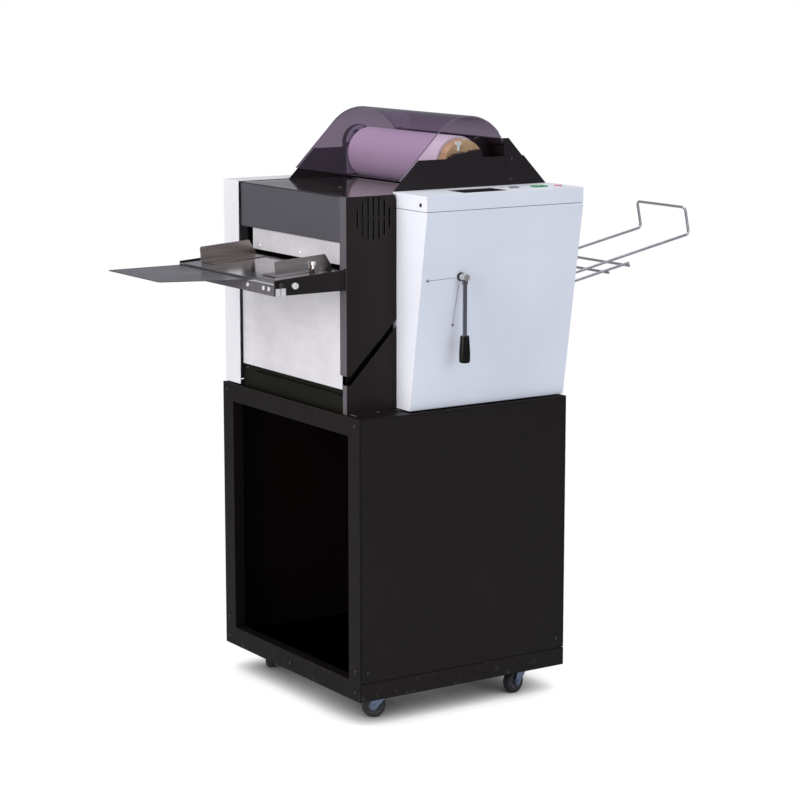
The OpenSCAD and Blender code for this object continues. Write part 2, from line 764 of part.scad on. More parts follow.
module film_roll() {
    x0 = -180;
    color([0.68, 0.55, 0.74]) difference() {
        rod_x(film_r, x0, x0 + film_len, roll_y, roll_z);
        rod_x(core_r, x0 - 1, x0 + film_len + 1, roll_y, roll_z);
    }
}

module film_core() {
    plug_t = 14;
    color([0.72, 0.55, 0.36]) difference() {
        rod_x(core_r, -184, 186, roll_y, roll_z);
        rod_x(40, -184 + plug_t, 186 - plug_t, roll_y, roll_z);
        rod_x(roll_shaft_r, -holder_x, holder_x, roll_y, roll_z);
    }
}

module roll_shaft() {
    color([0.7, 0.7, 0.72]) rod_x(roll_shaft_r, -201, 201, roll_y, roll_z);
}

module guide_bar() {
    color([0.6, 0.6, 0.6]) {
        rod_x(6.5, -168, 168, bar_pos[0], bar_pos[1]);
        rod_x(bar_journal_r, -frame_x, frame_x, bar_pos[0], bar_pos[1]);
    }
}

// ---------------------------------------------------------------- rollers and lever

module heat_roller() {
    color([0.75, 0.3, 0.15]) {
        rod_x(roller_r, -face_len / 2, face_len / 2, nip_y, heat_z);
        rod_x(journal_r, -frame_x - 2, 240, nip_y, heat_z);
    }
}

module pressure_roller() {
    color([0.15, 0.15, 0.16]) {
        rod_x(roller_r, -face_len / 2, face_len / 2, nip_y, press_z);
        rod_x(journal_r, -194, 194, nip_y, press_z);
    }
}

module pressure_carriage() {
    out = frame_x - 4 - gap;
    color([0.5, 0.5, 0.52]) difference() {
        union() {
            slab([-190, 206, arm_z - 12], [190, 216, arm_z]);
            for (s = [-1, 1]) {
                slab([s > 0 ? 178 : -out, 262, press_z - 22], [s > 0 ? out : -178, 308, press_z + 20]);
                slab([s > 0 ? 178 : -190, 206, arm_z - 12], [s > 0 ? 190 : -178, 264, arm_z]);
            }
        }
        for (s = [-1, 1]) rod_x(journal_r + run, s * 187 - 12, s * 187 + 12, nip_y, press_z);
    }
}

module drive_motor() {
    color([0.3, 0.3, 0.32]) difference() {
        union() {
            slab([frame_x + 6, nip_y - 32, heat_z - 32], [246, nip_y + 32, heat_z + 32]);
            rod_x(27, 246, 300, nip_y, heat_z);
            for (y = [nip_y - 25, nip_y + 25], z = [heat_z - 25, heat_z + 25])
                rod_x(4, frame_x, frame_x + 7, y, z);
        }
        rod_x(journal_r + run, frame_x, 244, nip_y, heat_z);
    }
}

module control_board() {
    y0 = 320;
    z0 = 700;
    color([0.1, 0.4, 0.2]) {
        slab([frame_x + 8, y0, z0], [frame_x + 9.6, y0 + 150, z0 + 130]);
        for (y = [y0 + 10, y0 + 140], z = [z0 + 10, z0 + 120]) rod_x(3, frame_x, frame_x + 8 + eps, y, z);
        slab([frame_x + 9, y0 + 20, z0 + 20], [frame_x + 40, y0 + 70, z0 + 60]);
        slab([frame_x + 9, y0 + 85, z0 + 30], [frame_x + 24, y0 + 125, z0 + 90]);
    }
}

module lever_bushing() {
    x = face_x(lever_z);
    color([0.06, 0.06, 0.06]) difference() {
        union() {
            rod_x(8.8, x + 1.6, x + 4.6, lever_y, lever_z);
            rod_x(7.5, x - 12, x + 2, lever_y, lever_z);
        }
        rod_x(lever_r + run, x - 20, x + 10, lever_y, lever_z);
    }
}

module lever_shaft() {
    color([0.78, 0.78, 0.8]) {
        rod_x(lever_r, -frame_x, boss_x + 7, lever_y, lever_z);
        for (x = [-188, 180]) rod_x(cam_r, x, x + 8,
            lever_y + cam_e * cos(cam_phase), lever_z + cam_e * sin(cam_phase));
    }
}

module lever_rod() {
    color([0.85, 0.85, 0.87]) translate([boss_x, lever_y, 0]) {
        translate([0, 0, lever_z - lever_r - 7]) cylinder(h = 7.8, r = 6.2);
        translate([0, 0, lever_z - lever_r - rod_len]) cylinder(h = rod_len - 6, r = 4.6);
    }
}

module lever_grip() {
    top = lever_z - lever_r - rod_len;
    color([0.06, 0.06, 0.06]) translate([boss_x, lever_y, top - grip_len]) rotate_extrude()
        polygon([[0, 0], [8.5, 0], [10.6, 1.2], [11.4, 4], [11.6, grip_len * 0.35],
            [10.4, grip_len * 0.7], [9.2, grip_len - 1.5], [8.2, grip_len], [0, grip_len]]);
}

// ---------------------------------------------------------------- wire catcher

// frame tilted with the wires: +Y runs out along the loop's runs, +Z is square to them
module on_loop() {
    translate([0, loop_end_y, loop_end_z]) rotate([wire_slope, 0, 0]) children();
}

module loop_run(x, from, to, r) {
    on_loop() translate([x, to, 0]) rotate([90, 0, 0]) cylinder(h = to - from, r = r);
}

module tine(x, from, r) {
    translate([x, tine_end[0], tine_end[1]]) rotate([tine_slope, 0, 0])
        rotate([90, 0, 0]) cylinder(h = -from, r = r);
}

// quarter turn of wire from the +X axis to the +Y axis
module wire_bend() {
    rotate_extrude(angle = 90) translate([bend_r, 0]) circle(r = wire_r);
}

module catch_rack() {
    color([0.75, 0.75, 0.77]) {
        for (x = tine_x) tine(x, -tine_len, wire_r);
        for (y = cross_y)
            rod_x(wire_r, tine_x[0] - 6, tine_x[1] + 6, y,
                tine_end[1] - (tine_end[0] - y) * tan(tine_slope) - wire_d + 1);
    }
}

module catch_loop() {
    color([0.78, 0.78, 0.8]) {
        for (x = loop_x) loop_run(x, -loop_inside, -bend_r, wire_r);
        on_loop() {
            for (x = loop_x) {
                translate([x, -bend_r, bend_r]) rotate([90, 0, 90]) rotate([0, 0, -90]) wire_bend();
                translate([x, 0, bend_r]) cylinder(h = stop_h - 2 * bend_r, r = wire_r);
            }
            translate([loop_x[0] + bend_r, 0, stop_h - bend_r]) rotate([90, 0, 0]) rotate([0, 0, 90])
                wire_bend();
            translate([loop_x[1] - bend_r, 0, stop_h - bend_r]) rotate([90, 0, 0]) wire_bend();
            rod_x(wire_r, loop_x[0] + bend_r, loop_x[1] - bend_r, 0, stop_h);
        }
    }
}

// ---------------------------------------------------------------- mains parts

module power_inlet() {
    color([0.05, 0.05, 0.05]) difference() {
        union() {
            slab([inlet_x - 14, stand_d - 24, inlet_z - 10], [inlet_x + 14, stand_d, inlet_z + 10]);
            slab([inlet_x - 20, stand_d, inlet_z - 13], [inlet_x + 20, stand_d + 2, inlet_z + 13]);
        }
        difference() {
            slab([inlet_x - 12, stand_d - 18, inlet_z - 8], [inlet_x + 12, stand_d + 3, inlet_z + 8]);
            for (x = [-7, 0, 7])
                slab([inlet_x + x - 1, stand_d - 19, inlet_z - 4],
                    [inlet_x + x + 1, stand_d - 8, inlet_z + 4]);
        }
    }
}

// rocker on two short pivot pins
module main_switch() {
    color([0.06, 0.06, 0.06]) translate([inlet_x, stand_d, switch_z]) {
        side_plate(-9.6, 19.2, [[-6, -5.2], [-6, 5.2], [0, 5.9], [1.2, 0], [3, -5.6]]);
        translate([-10, 0, 0]) rotate([0, 90, 0]) cylinder(h = 20, r = 1.1);
    }
}

front_frame();
left_side_panel();
right_side_panel();
back_panel();
stand_top();
floor_pan();
case_screws();
castor_fork_fr();
castor_fork_fl();
castor_fork_rr();
castor_fork_rl();
castor_wheel_fr();
castor_wheel_fl();
castor_wheel_rr();
castor_wheel_rl();
base_pan();
left_frame_plate();
right_frame_plate();
lower_front_panel();
side_gusset();
vent_side_panel();
front_hood();
top_plate();
left_cover();
right_cover();
control_box();
entry_plate();
rear_cover();
display();
menu_key();
start_button();
stop_button();
tray_frame();
tray_table();
extension_plate();
left_guide();
right_guide();
tray_thumbscrews();
left_bracket();
right_bracket();
bay_rear_plate();
film_cover();
hinge_bar();
film_roll();
film_core();
roll_shaft();
guide_bar();
heat_roller();
pressure_roller();
pressure_carriage();
drive_motor();
lever_bushing();
lever_shaft();
lever_rod();
lever_grip();
catch_rack();
catch_loop();
power_inlet();
main_switch();
control_board();
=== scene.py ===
"""Looks of the sheet-fed roll laminator: finishes, fine pieces, light and camera.

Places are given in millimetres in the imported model's frame, and mm() turns them into Blender's
metres: origin on the floor under the front of the stand, +X to the lever's side, +Y to the rear.
"""
import json
import math

import bmesh
import bpy
from mathutils import Matrix, Vector

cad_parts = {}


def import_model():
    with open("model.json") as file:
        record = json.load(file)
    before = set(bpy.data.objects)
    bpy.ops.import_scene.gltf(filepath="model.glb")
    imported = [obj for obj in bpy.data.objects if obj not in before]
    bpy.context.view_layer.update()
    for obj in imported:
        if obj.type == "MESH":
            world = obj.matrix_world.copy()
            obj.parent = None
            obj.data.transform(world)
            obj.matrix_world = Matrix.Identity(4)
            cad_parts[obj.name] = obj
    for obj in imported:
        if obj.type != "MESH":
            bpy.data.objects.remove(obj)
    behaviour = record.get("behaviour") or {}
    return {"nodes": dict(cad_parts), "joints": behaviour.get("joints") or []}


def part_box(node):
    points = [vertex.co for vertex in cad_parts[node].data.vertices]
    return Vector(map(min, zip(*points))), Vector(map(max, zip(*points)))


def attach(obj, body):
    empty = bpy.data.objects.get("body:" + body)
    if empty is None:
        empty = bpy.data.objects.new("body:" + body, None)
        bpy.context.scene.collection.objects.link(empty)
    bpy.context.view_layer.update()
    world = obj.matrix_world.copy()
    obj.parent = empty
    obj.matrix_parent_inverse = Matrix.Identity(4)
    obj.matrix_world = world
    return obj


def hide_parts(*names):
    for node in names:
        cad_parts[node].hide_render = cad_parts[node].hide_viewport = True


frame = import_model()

MM = 0.001
NODES = frame["nodes"]
JOINTS = {joint["name"]: joint for joint in frame["joints"]}
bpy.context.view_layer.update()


def mm(x, y, z):
    """A place in the frame, from millimetres."""
    return Vector((x, y, z)) * MM


def box_mm(node):
    """The lowest and highest corner of a CAD node, in millimetres."""
    low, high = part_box(node)
    return Vector(low) / MM, Vector(high) / MM


# ---------------------------------------------------------------- finishes

class Finish:
    """A Principled material whose sockets are fed by procedural nodes in object space."""

    def __init__(self, name, colour, roughness, metallic=0.0, **sockets):
        self.material = bpy.data.materials.new(name)
        self.material.use_nodes = True
        self.tree = self.material.node_tree
        self.shader = self.tree.nodes["Principled BSDF"]
        self.place = self.node("ShaderNodeTexCoord").outputs["Object"]
        self.roughness = roughness
        self.colour = self.rgb(colour)
        self.shader.inputs["Base Color"].default_value = (*colour, 1.0)
        self.shader.inputs["Roughness"].default_value = roughness
        self.shader.inputs["Metallic"].default_value = metallic
        for socket, value in sockets.items():
            self.shader.inputs[socket.replace("_", " ")].default_value = value

    def node(self, kind, **settings):
        """A new node of that kind with those settings."""
        made = self.tree.nodes.new(kind)
        for key, value in settings.items():
            setattr(made, key, value)
        return made

    def feed(self, socket, value):
        """Links an output to a socket, or sets the socket where the value is a plain one."""
        if isinstance(value, bpy.types.NodeSocket):
            self.tree.links.new(value, socket)
        else:
            socket.default_value = value

    def rgb(self, colour):
        """A node that gives one colour."""
        made = self.node("ShaderNodeRGB")
        made.outputs[0].default_value = (*colour, 1.0)
        return made.outputs[0]

    def stretched(self, stretch, centre=(0, 0, 0)):
        """Object coordinates about a centre, scaled along each axis."""
        shifted = self.node("ShaderNodeVectorMath", operation="SUBTRACT")
        self.feed(shifted.inputs[0], self.place)
        shifted.inputs[1].default_value = centre
        scaled = self.node("ShaderNodeVectorMath", operation="MULTIPLY")
        self.feed(scaled.inputs[0], shifted.outputs[0])
        scaled.inputs[1].default_value = stretch
        return scaled.outputs[0]

    def noise(self, scale, detail=3.0, stretch=(1, 1, 1)):
        """Soft noise round 0.5, with about scale spots to the metre."""
        made = self.node("ShaderNodeTexNoise")
        self.feed(made.inputs["Vector"], self.stretched(stretch))
        made.inputs["Scale"].default_value = scale
        made.inputs["Detail"].default_value = detail
        return made.outputs["Fac"]

    def span(self, value, low, high, start=0.3, end=0.7):
        """value from start to end becomes low to high, and is held there outside."""
        made = self.node("ShaderNodeMapRange")
        self.feed(made.inputs["Value"], value)
        made.inputs["From Min"].default_value = start
        made.inputs["From Max"].default_value = end
        made.inputs["To Min"].default_value = low
        made.inputs["To Max"].default_value = high
        return made.outputs["Result"]

    def math(self, operation, a, b=0.0):
        """One operation on two values."""
        made = self.node("ShaderNodeMath", operation=operation)
        self.feed(made.inputs[0], a)
        self.feed(made.inputs[1], b)
        return made.outputs[0]

    def axis(self, name, source=None):
        """One component of a vector, by default of the object coordinates."""
        made = self.node("ShaderNodeSeparateXYZ")
        self.feed(made.inputs[0], source or self.place)
        return made.outputs[name]

    def blend(self, amount, colour, kind="MIX"):
        """Mixes a colour over what the base colour has so far."""
        # of a colour mix node, inputs 6 and 7 are the two colours and output 2 is the mixed one
        made = self.node("ShaderNodeMix", data_type="RGBA", blend_type=kind)
        self.feed(made.inputs["Factor"], amount)
        self.feed(made.inputs[6], self.colour)
        self.feed(made.inputs[7], colour if isinstance(colour, bpy.types.NodeSocket) else (*colour, 1.0))
        self.colour = made.outputs[2]
        self.feed(self.shader.inputs["Base Color"], self.colour)

    def mottle(self, amount, scale, stretch=(1, 1, 1), detail=3.0):
        """Makes the colour slightly lighter and darker from place to place."""
        shade = self.span(self.noise(scale, detail, stretch), 1 - amount, 1 + amount)
        grey = self.node("ShaderNodeCombineColor")
        for socket in grey.inputs:
            self.feed(socket, shade)
        self.blend(1.0, grey.outputs[0], "MULTIPLY")

    def smudge(self, amount, scale, stretch=(1, 1, 1)):
        """Makes the gloss uneven, as handling does."""
        low, high = self.roughness - amount, self.roughness + amount
        value = self.span(self.noise(scale, 5.0, stretch), max(low, 0.02), min(high, 1.0))
        self.feed(self.shader.inputs["Roughness"], value)

    def relief(self, height, strength, depth_mm):
        """Adds a bump on top of those before it."""
        made = self.node("ShaderNodeBump")
        made.inputs["Strength"].default_value = strength
        made.inputs["Distance"].default_value = depth_mm * MM
        self.feed(made.inputs["Height"], height)
        before = self.shader.inputs["Normal"]
        if before.is_linked:
            self.feed(made.inputs["Normal"], before.links[0].from_socket)
        self.feed(before, made.outputs[0])

    def dust(self, amount, colour=(0.55, 0.52, 0.50)):
        """Leaves a thin dust on faces that look up."""
        up = self.axis("Z", self.node("ShaderNodeNewGeometry").outputs["True Normal"])
        fallen = self.math("MULTIPLY", self.span(up, 0.0, amount, 0.5, 1.0), self.noise(38.0, 6.0))
        self.blend(fallen, colour)

    def scuffs(self, amount, top_mm, colour=(0.22, 0.20, 0.19)):
        """Scratches and rubbed spots that fade out above a height."""
        low_down = self.span(self.axis("Z"), 1.0, 0.0, 0.0, top_mm * MM)
        spots = self.span(self.noise(60.0, 8.0), 0.0, amount, 0.58, 0.74)
        self.blend(self.math("MULTIPLY", low_down, spots), colour)

    def face_front(self, colour):
        """Another colour on the faces that look to the front: a painted reflection, the lighter grey that
        glossy black paint shows where it faces the bright front.
        """
        back = self.axis("Y", self.node("ShaderNodeNewGeometry").outputs["True Normal"])
        self.blend(self.span(back, 1.0, 0.0, -0.98, -0.90), colour)


def painted(name, colour, roughness, peel=0.10, dust=0.0, scuff_top=0.0, front=None, **sockets):
    """Sprayed or powder-coated sheet metal, with a fine orange peel."""
    finish = Finish(name, colour, roughness, **sockets)
    # front is a painted reflection: a lighter colour on the faces that look to the front
    if front:
        finish.face_front(front)
    finish.mottle(0.05, 4.0)
    finish.mottle(0.03, 700.0, detail=1.0)
    finish.smudge(0.05, 11.0)
    finish.relief(finish.noise(620.0, 2.0), peel, 0.12)
    finish.relief(finish.noise(9.0, 2.0), 0.05, 0.6)
    if dust:
        finish.dust(dust)
    if scuff_top:
        finish.scuffs(0.3, scuff_top)
    return finish.material


def brushed(name, colour, roughness, grain, wear=0.06):
    """Bare metal with fine lines; grain is the stretch that makes them long on one axis."""
    finish = Finish(name, colour, roughness, metallic=1.0)
    lines = finish.noise(240.0, 4.0, grain)
    finish.mottle(0.06, 240.0, grain, 4.0)
    finish.mottle(0.05, 7.0)
    finish.smudge(wear, 30.0, grain)
    finish.relief(lines, 0.10, 0.05)
    return finish.material


def galvanised(name, colour, roughness):
    """Zinc-coated sheet: soft spangle, faint rolling lines and a few handling marks."""
    finish = Finish(name, colour, roughness, metallic=0.35)
    spangle = finish.node("ShaderNodeTexVoronoi", feature="SMOOTH_F1")
    finish.feed(spangle.inputs["Vector"], finish.place)
    spangle.inputs["Scale"].default_value = 85.0
    finish.blend(finish.span(spangle.outputs["Distance"], 0.0, 0.12, 0.2, 0.8), (0.46, 0.46, 0.49))
    finish.mottle(0.025, 120.0, (0.05, 1, 1), 3.0)
    finish.mottle(0.05, 14.0, detail=5.0)
    finish.mottle(0.04, 3.0)
    finish.smudge(0.07, 18.0)
    finish.relief(spangle.outputs["Distance"], 0.06, 0.1)
    return finish.material


def polished(name, colour, roughness, metallic=1.0):
    """Polished or plated metal with hairline marks and finger haze."""
    finish = Finish(name, colour, roughness, metallic)
    finish.mottle(0.04, 25.0)
    finish.smudge(0.05, 45.0)
    finish.relief(finish.noise(420.0, 3.0), 0.04, 0.03)
    return finish.material


def moulded(name, colour, roughness, grain=0.12, **sockets):
    """Moulded plastic or rubber with a fine erosion texture."""
    finish = Finish(name, colour, roughness, **sockets)
    finish.mottle(0.06, 12.0)
    finish.smudge(0.07, 40.0)
    finish.relief(finish.noise(1100.0, 2.0), grain, 0.08)
    return finish.material


def rings(finish, centre, per_metre):
    """Fine circles about a line through centre along X, as a wave from -1 to 1."""
    flat = finish.stretched((0, 1, 1), centre)
    length = finish.node("ShaderNodeVectorMath", operation="LENGTH")
    finish.feed(length.inputs[0], flat)
    wound = finish.math("MULTIPLY", length.outputs["Value"], per_metre * 2 * math.pi)
    return finish.math("SINE", wound)


def film(name, colour, centre):
    """Wound laminating film: satin on the outside, with its turns showing at the ends."""
    finish = Finish(name, colour, 0.34, Coat_Weight=0.35, Coat_Roughness=0.22)
    normal = finish.node("ShaderNodeNewGeometry").outputs["Normal"]
    side = finish.math("ABSOLUTE", finish.axis("X", normal))
    turns = finish.span(rings(finish, centre, 900.0), 0.0, 0.35, -1.0, 1.0)
    finish.blend(finish.math("MULTIPLY", turns, side), (0.30, 0.22, 0.34))
    finish.mottle(0.035, 6.0, (0.3, 1, 1))
    finish.mottle(0.025, 260.0, (0.02, 1, 1))
    finish.smudge(0.06, 9.0, (0.4, 1, 1))
    finish.relief(finish.noise(14.0, 2.0, (0.25, 1, 1)), 0.12, 0.5)
    return finish.material


def cardboard(name, colour, centre):
    """Wound cardboard core: fibres, layers at the cut end and slight stains."""
    finish = Finish(name, colour, 0.82)
    layers = finish.span(rings(finish, centre, 420.0), 0.0, 0.30, -0.2, 1.0)
    finish.blend(layers, tuple(0.6 * part for part in colour))
    finish.mottle(0.16, 70.0, (0.3, 1, 1), 6.0)
    finish.mottle(0.10, 9.0)
    finish.relief(finish.noise(320.0, 5.0, (0.4, 1, 1)), 0.35, 0.25)
    return finish.material


def smoked(name, tint, haze):
    """Clear smoked acrylic sheet: a tinted window with a polished surface and faint haze."""
    finish = Finish(name, haze, 0.07, IOR=1.49)
    finish.mottle(0.08, 5.0)
    finish.smudge(0.03, 16.0)
    finish.relief(finish.noise(7.0, 2.0), 0.04, 0.5)
    window = finish.node("ShaderNodeBsdfTransparent")
    window.inputs["Color"].default_value = (*tint, 1.0)
    glancing = finish.node("ShaderNodeLayerWeight").outputs["Facing"]
    share = finish.span(finish.math("POWER", glancing, 4.0), 0.05, 0.85, 0.0, 1.0)
    both = finish.node("ShaderNodeMixShader")
    finish.feed(both.inputs[0], share)
    finish.feed(both.inputs[1], window.outputs[0])
    finish.feed(both.inputs[2], finish.shader.outputs[0])
    output = finish.tree.nodes["Material Output"]
    finish.feed(output.inputs["Surface"], both.outputs[0])
    return finish.material


def circuit_board(name):
    """Green solder mask with a grid of tracks."""
    finish = Finish(name, (0.03, 0.17, 0.07), 0.35, Coat_Weight=0.4)
    tracks = finish.node("ShaderNodeTexBrick")
    finish.feed(tracks.inputs["Vector"], finish.place)
    tracks.inputs["Scale"].default_value = 60.0
    finish.blend(finish.span(tracks.outputs["Fac"], 0.0, 0.5, 0.0, 1.0), (0.10, 0.30, 0.14))
    finish.relief(tracks.outputs["Fac"], 0.3, 0.1)
    return finish.material


def screen(name):
    """Display window: near-black gloss with a faint bluish field and finger marks."""
    finish = Finish(name, (0.010, 0.009, 0.012), 0.08, Coat_Weight=0.5, Coat_Roughness=0.04)
    finish.mottle(0.25, 14.0)
    finish.smudge(0.05, 30.0)
    finish.relief(finish.noise(60.0, 2.0), 0.02, 0.1)
    return finish.material


ROLL_CENTRE = Vector(JOINTS["roll_spin"]["pos_m"])
ALONG_X = (0.04, 1, 1)
ALONG_Y = (1, 0.04, 1)
ALONG_Z = (1, 1, 0.04)

DULL = {"Specular_IOR_Level": 0.17}
MATT = {"Specular_IOR_Level": 0.08}
# a painted reflection: the lighter grey painted on the front faces of the glossy black housing parts
FRONT_SHEEN_GREY = (0.096, 0.088, 0.100)
STAND_BLACK = painted("stand_black", (0.0074, 0.0048, 0.0038), 0.46, peel=0.16, scuff_top=110, **DULL)
FRAME_BLACK = painted("frame_black", (0.0080, 0.0064, 0.0068), 0.50, peel=0.16, scuff_top=110, **MATT)
# the housing black carries the painted reflection on its front faces
HOUSING_BLACK = painted("housing_black", (0.0112, 0.0074, 0.0072), 0.42, peel=0.14, front=FRONT_SHEEN_GREY, **DULL)
# painted shade: the base pan is painted darker than the other blacks for the shade in the recess below the
# ledge
PAINTED_SHADE_BLACK = painted("painted_shade_black", (0.0060, 0.0056, 0.0034), 0.50, peel=0.14, **MATT)
TOP_BLACK = painted("top_black", (0.014, 0.012, 0.013), 0.10, peel=0.03, dust=0.06, Coat_Weight=0.3)
HOOD_GREY = painted("hood_grey", (0.066, 0.062, 0.073), 0.36, peel=0.14)
BRACKET_BLACK = painted("bracket_black", (0.0140, 0.0096, 0.0108), 0.42, peel=0.04, **DULL)
COVER_WHITE = painted("cover_white", (0.66, 0.66, 0.68), 0.38)
COVER_LIGHT = painted("cover_light", (0.74, 0.75, 0.80), 0.38)
PLATE_GLOSS = painted("plate_gloss", (0.050, 0.048, 0.056), 0.22, peel=0.05, dust=0.05)
PRINT_GREY = painted("print_grey", (0.10, 0.10, 0.12), 0.5)
SCREW_STEEL = polished("screw_steel", (0.80, 0.78, 0.74), 0.26, metallic=0.5)
CASTOR_ZINC = polished("castor_zinc", (0.15, 0.19, 0.26), 0.26)
SCREW_BLACK = polished("screw_black", (0.060, 0.056, 0.058), 0.34)
CASTOR_RUBBER = moulded("castor_rubber", (0.014, 0.014, 0.014), 0.62, grain=0.25)
HUB_GREY = moulded("hub_grey", (0.05, 0.05, 0.055), 0.40)
# painted shade: the frame plates and carriage inside the stand are coloured near black for the shade that
# shows through the vent slots
SHADED_FRAME_STEEL = brushed("frame_steel", (0.018, 0.018, 0.019), 0.50, ALONG_Z)
GALVANISED = galvanised("galvanised", (0.74, 0.72, 0.74), 0.40)
STAINLESS = brushed("stainless", (0.50, 0.49, 0.51), 0.16, ALONG_X, wear=0.05)
GUIDE_STEEL = brushed("guide_steel", (0.33, 0.29, 0.27), 0.24, ALONG_Y, wear=0.06)
LEVER_CHROME = polished("lever_chrome", (0.80, 0.76, 0.72), 0.09)
# painted reflection: the lever rod's chrome is coloured dark for the dark reflection along its middle
ROD_CHROME_DARK_REFLECTION = polished("rod_chrome_painted_reflection", (0.27, 0.27, 0.31), 0.06)
WIRE_STEEL = polished("wire_steel", (0.52, 0.51, 0.54), 0.30)
SHAFT_STEEL = brushed("shaft_steel", (0.58, 0.56, 0.56), 0.26, ALONG_X)
CRADLE_GREY = painted("cradle_grey", (0.34, 0.33, 0.36), 0.40)
ROLLER_ALUMINIUM = brushed("roller_aluminium", (0.50, 0.46, 0.42), 0.30, ALONG_X)
ROLLER_RUBBER = moulded("roller_rubber", (0.10, 0.035, 0.022), 0.55)
MOTOR_GREY = painted("motor_grey", (0.10, 0.10, 0.11), 0.5)
GRIP_BLACK = moulded("grip_black", (0.005, 0.005, 0.004), 0.22, grain=0.03, Specular_IOR_Level=0.12)
BUSHING_BLACK = moulded("bushing_black", (0.012, 0.012, 0.013), 0.42)
KEY_GREY = moulded("key_grey", (0.20, 0.21, 0.23), 0.45)
KEY_GREEN = moulded("key_green", (0.02, 0.26, 0.08), 0.32)
KEY_RED = moulded("key_red", (0.62, 0.20, 0.26), 0.32)
DISPLAY = screen("display_glass")
ACRYLIC = smoked("smoked_acrylic", (0.92, 0.865, 0.945), (0.06, 0.045, 0.07))
# painted highlight: the cover's cut edges get a lighter opaque finish for the light line they show
ACRYLIC_EDGE_HIGHLIGHT = polished("acrylic_edge_highlight", (0.34, 0.31, 0.38), 0.25)
FILM = film("film_lilac", (0.60, 0.50, 0.55), ROLL_CENTRE)
CARDBOARD = cardboard("cardboard", (0.46, 0.29, 0.15), ROLL_CENTRE)
BOARD = circuit_board("board_green")

NODE_FINISH = {
    STAND_BLACK: ["left_side_panel", "right_side_panel", "back_panel", "stand_top", "floor_pan"],
    FRAME_BLACK: ["front_frame"],
    HOUSING_BLACK: ["side_gusset", "vent_side_panel", "rear_cover", "tray_frame"],
    PAINTED_SHADE_BLACK: ["base_pan"],
    TOP_BLACK: ["top_plate"],
    HOOD_GREY: ["front_hood"],
    BRACKET_BLACK: ["left_bracket", "right_bracket", "bay_rear_plate", "hinge_bar"],
    COVER_WHITE: ["left_cover"],
    COVER_LIGHT: ["right_cover", "control_box"],
    PLATE_GLOSS: ["extension_plate"],
    CASTOR_ZINC: ["castor_fork_fr", "castor_fork_fl", "castor_fork_rr", "castor_fork_rl"],
    SHADED_FRAME_STEEL: ["left_frame_plate", "right_frame_plate", "pressure_carriage"],
    GALVANISED: ["lower_front_panel", "entry_plate"],
    STAINLESS: ["tray_table"],
    GUIDE_STEEL: ["left_guide", "right_guide"],
    LEVER_CHROME: ["lever_shaft"],
    ROD_CHROME_DARK_REFLECTION: ["lever_rod"],
    WIRE_STEEL: ["catch_rack", "catch_loop"],
    SHAFT_STEEL: ["roll_shaft", "guide_bar"],
    ROLLER_ALUMINIUM: ["heat_roller"],
    ROLLER_RUBBER: ["pressure_roller"],
    MOTOR_GREY: ["drive_motor"],
    GRIP_BLACK: ["lever_grip"],
    BUSHING_BLACK: ["lever_bushing", "power_inlet", "main_switch"],
    KEY_GREY: ["menu_key"],
    KEY_GREEN: ["start_button"],
    KEY_RED: ["stop_button"],
    DISPLAY: ["display"],
    FILM: ["film_roll"],
    CARDBOARD: ["film_core"],
    BOARD: ["control_board"],
}

# the nodes whose bent or cut edges are rounded, by the width of that edge in millimetres
EDGES_MM = {
    1.2: ["left_cover", "right_cover", "control_box"],
    1.0: ["front_frame", "stand_top", "hinge_bar", "drive_motor"],
    0.8: ["left_side_panel", "right_side_panel", "back_panel", "floor_pan", "menu_key",
        "start_button", "stop_button", "film_roll", "film_core"],
    0.6: ["side_gusset", "vent_side_panel", "front_hood", "tray_frame", "power_inlet", "main_switch",
        "castor_fork_fr", "castor_fork_fl", "castor_fork_rr", "castor_fork_rl"],
    0.5: ["lower_front_panel", "top_plate", "extension_plate", "lever_bushing"],
    0.4: ["entry_plate", "rear_cover", "left_bracket", "right_bracket", "bay_rear_plate"],
    0.35: ["tray_table"],
    0.3: ["display", "left_guide", "right_guide", "lever_grip"],
}


# ---------------------------------------------------------------- mesh tools

def soft_shading_group():
    """A node group that welds a mesh and shades it smooth, except across its sharp edges."""
    sharp = math.radians(32)
    group = bpy.data.node_groups.new("soft_shading", "GeometryNodeTree")
    group.interface.new_socket("Geometry", in_out="INPUT", socket_type="NodeSocketGeometry")
    group.interface.new_socket("Geometry", in_out="OUTPUT", socket_type="NodeSocketGeometry")
    node = group.nodes.new
    start, end = node("NodeGroupInput"), node("NodeGroupOutput")
    weld = node("GeometryNodeMergeByDistance")
    weld.inputs["Distance"].default_value = 0.002 * MM
    plain = node("GeometryNodeRemoveAttribute")
    plain.inputs["Name"].default_value = "custom_normal"
    faces = node("GeometryNodeSetShadeSmooth")
    edges = node("GeometryNodeSetShadeSmooth")
    edges.domain = "EDGE"
    angle = node("GeometryNodeInputMeshEdgeAngle")
    flat_enough = node("ShaderNodeMath")
    flat_enough.operation = "LESS_THAN"
    flat_enough.inputs[1].default_value = sharp
    link = group.links.new
    link(start.outputs[0], weld.inputs["Geometry"])
    link(weld.outputs[0], plain.inputs["Geometry"])
    link(plain.outputs[0], faces.inputs["Geometry"])
    link(faces.outputs[0], edges.inputs["Geometry"])
    link(angle.outputs["Unsigned Angle"], flat_enough.inputs[0])
    link(flat_enough.outputs[0], edges.inputs["Shade Smooth"])
    link(edges.outputs[0], end.inputs[0])
    return group


SOFT_SHADING = soft_shading_group()


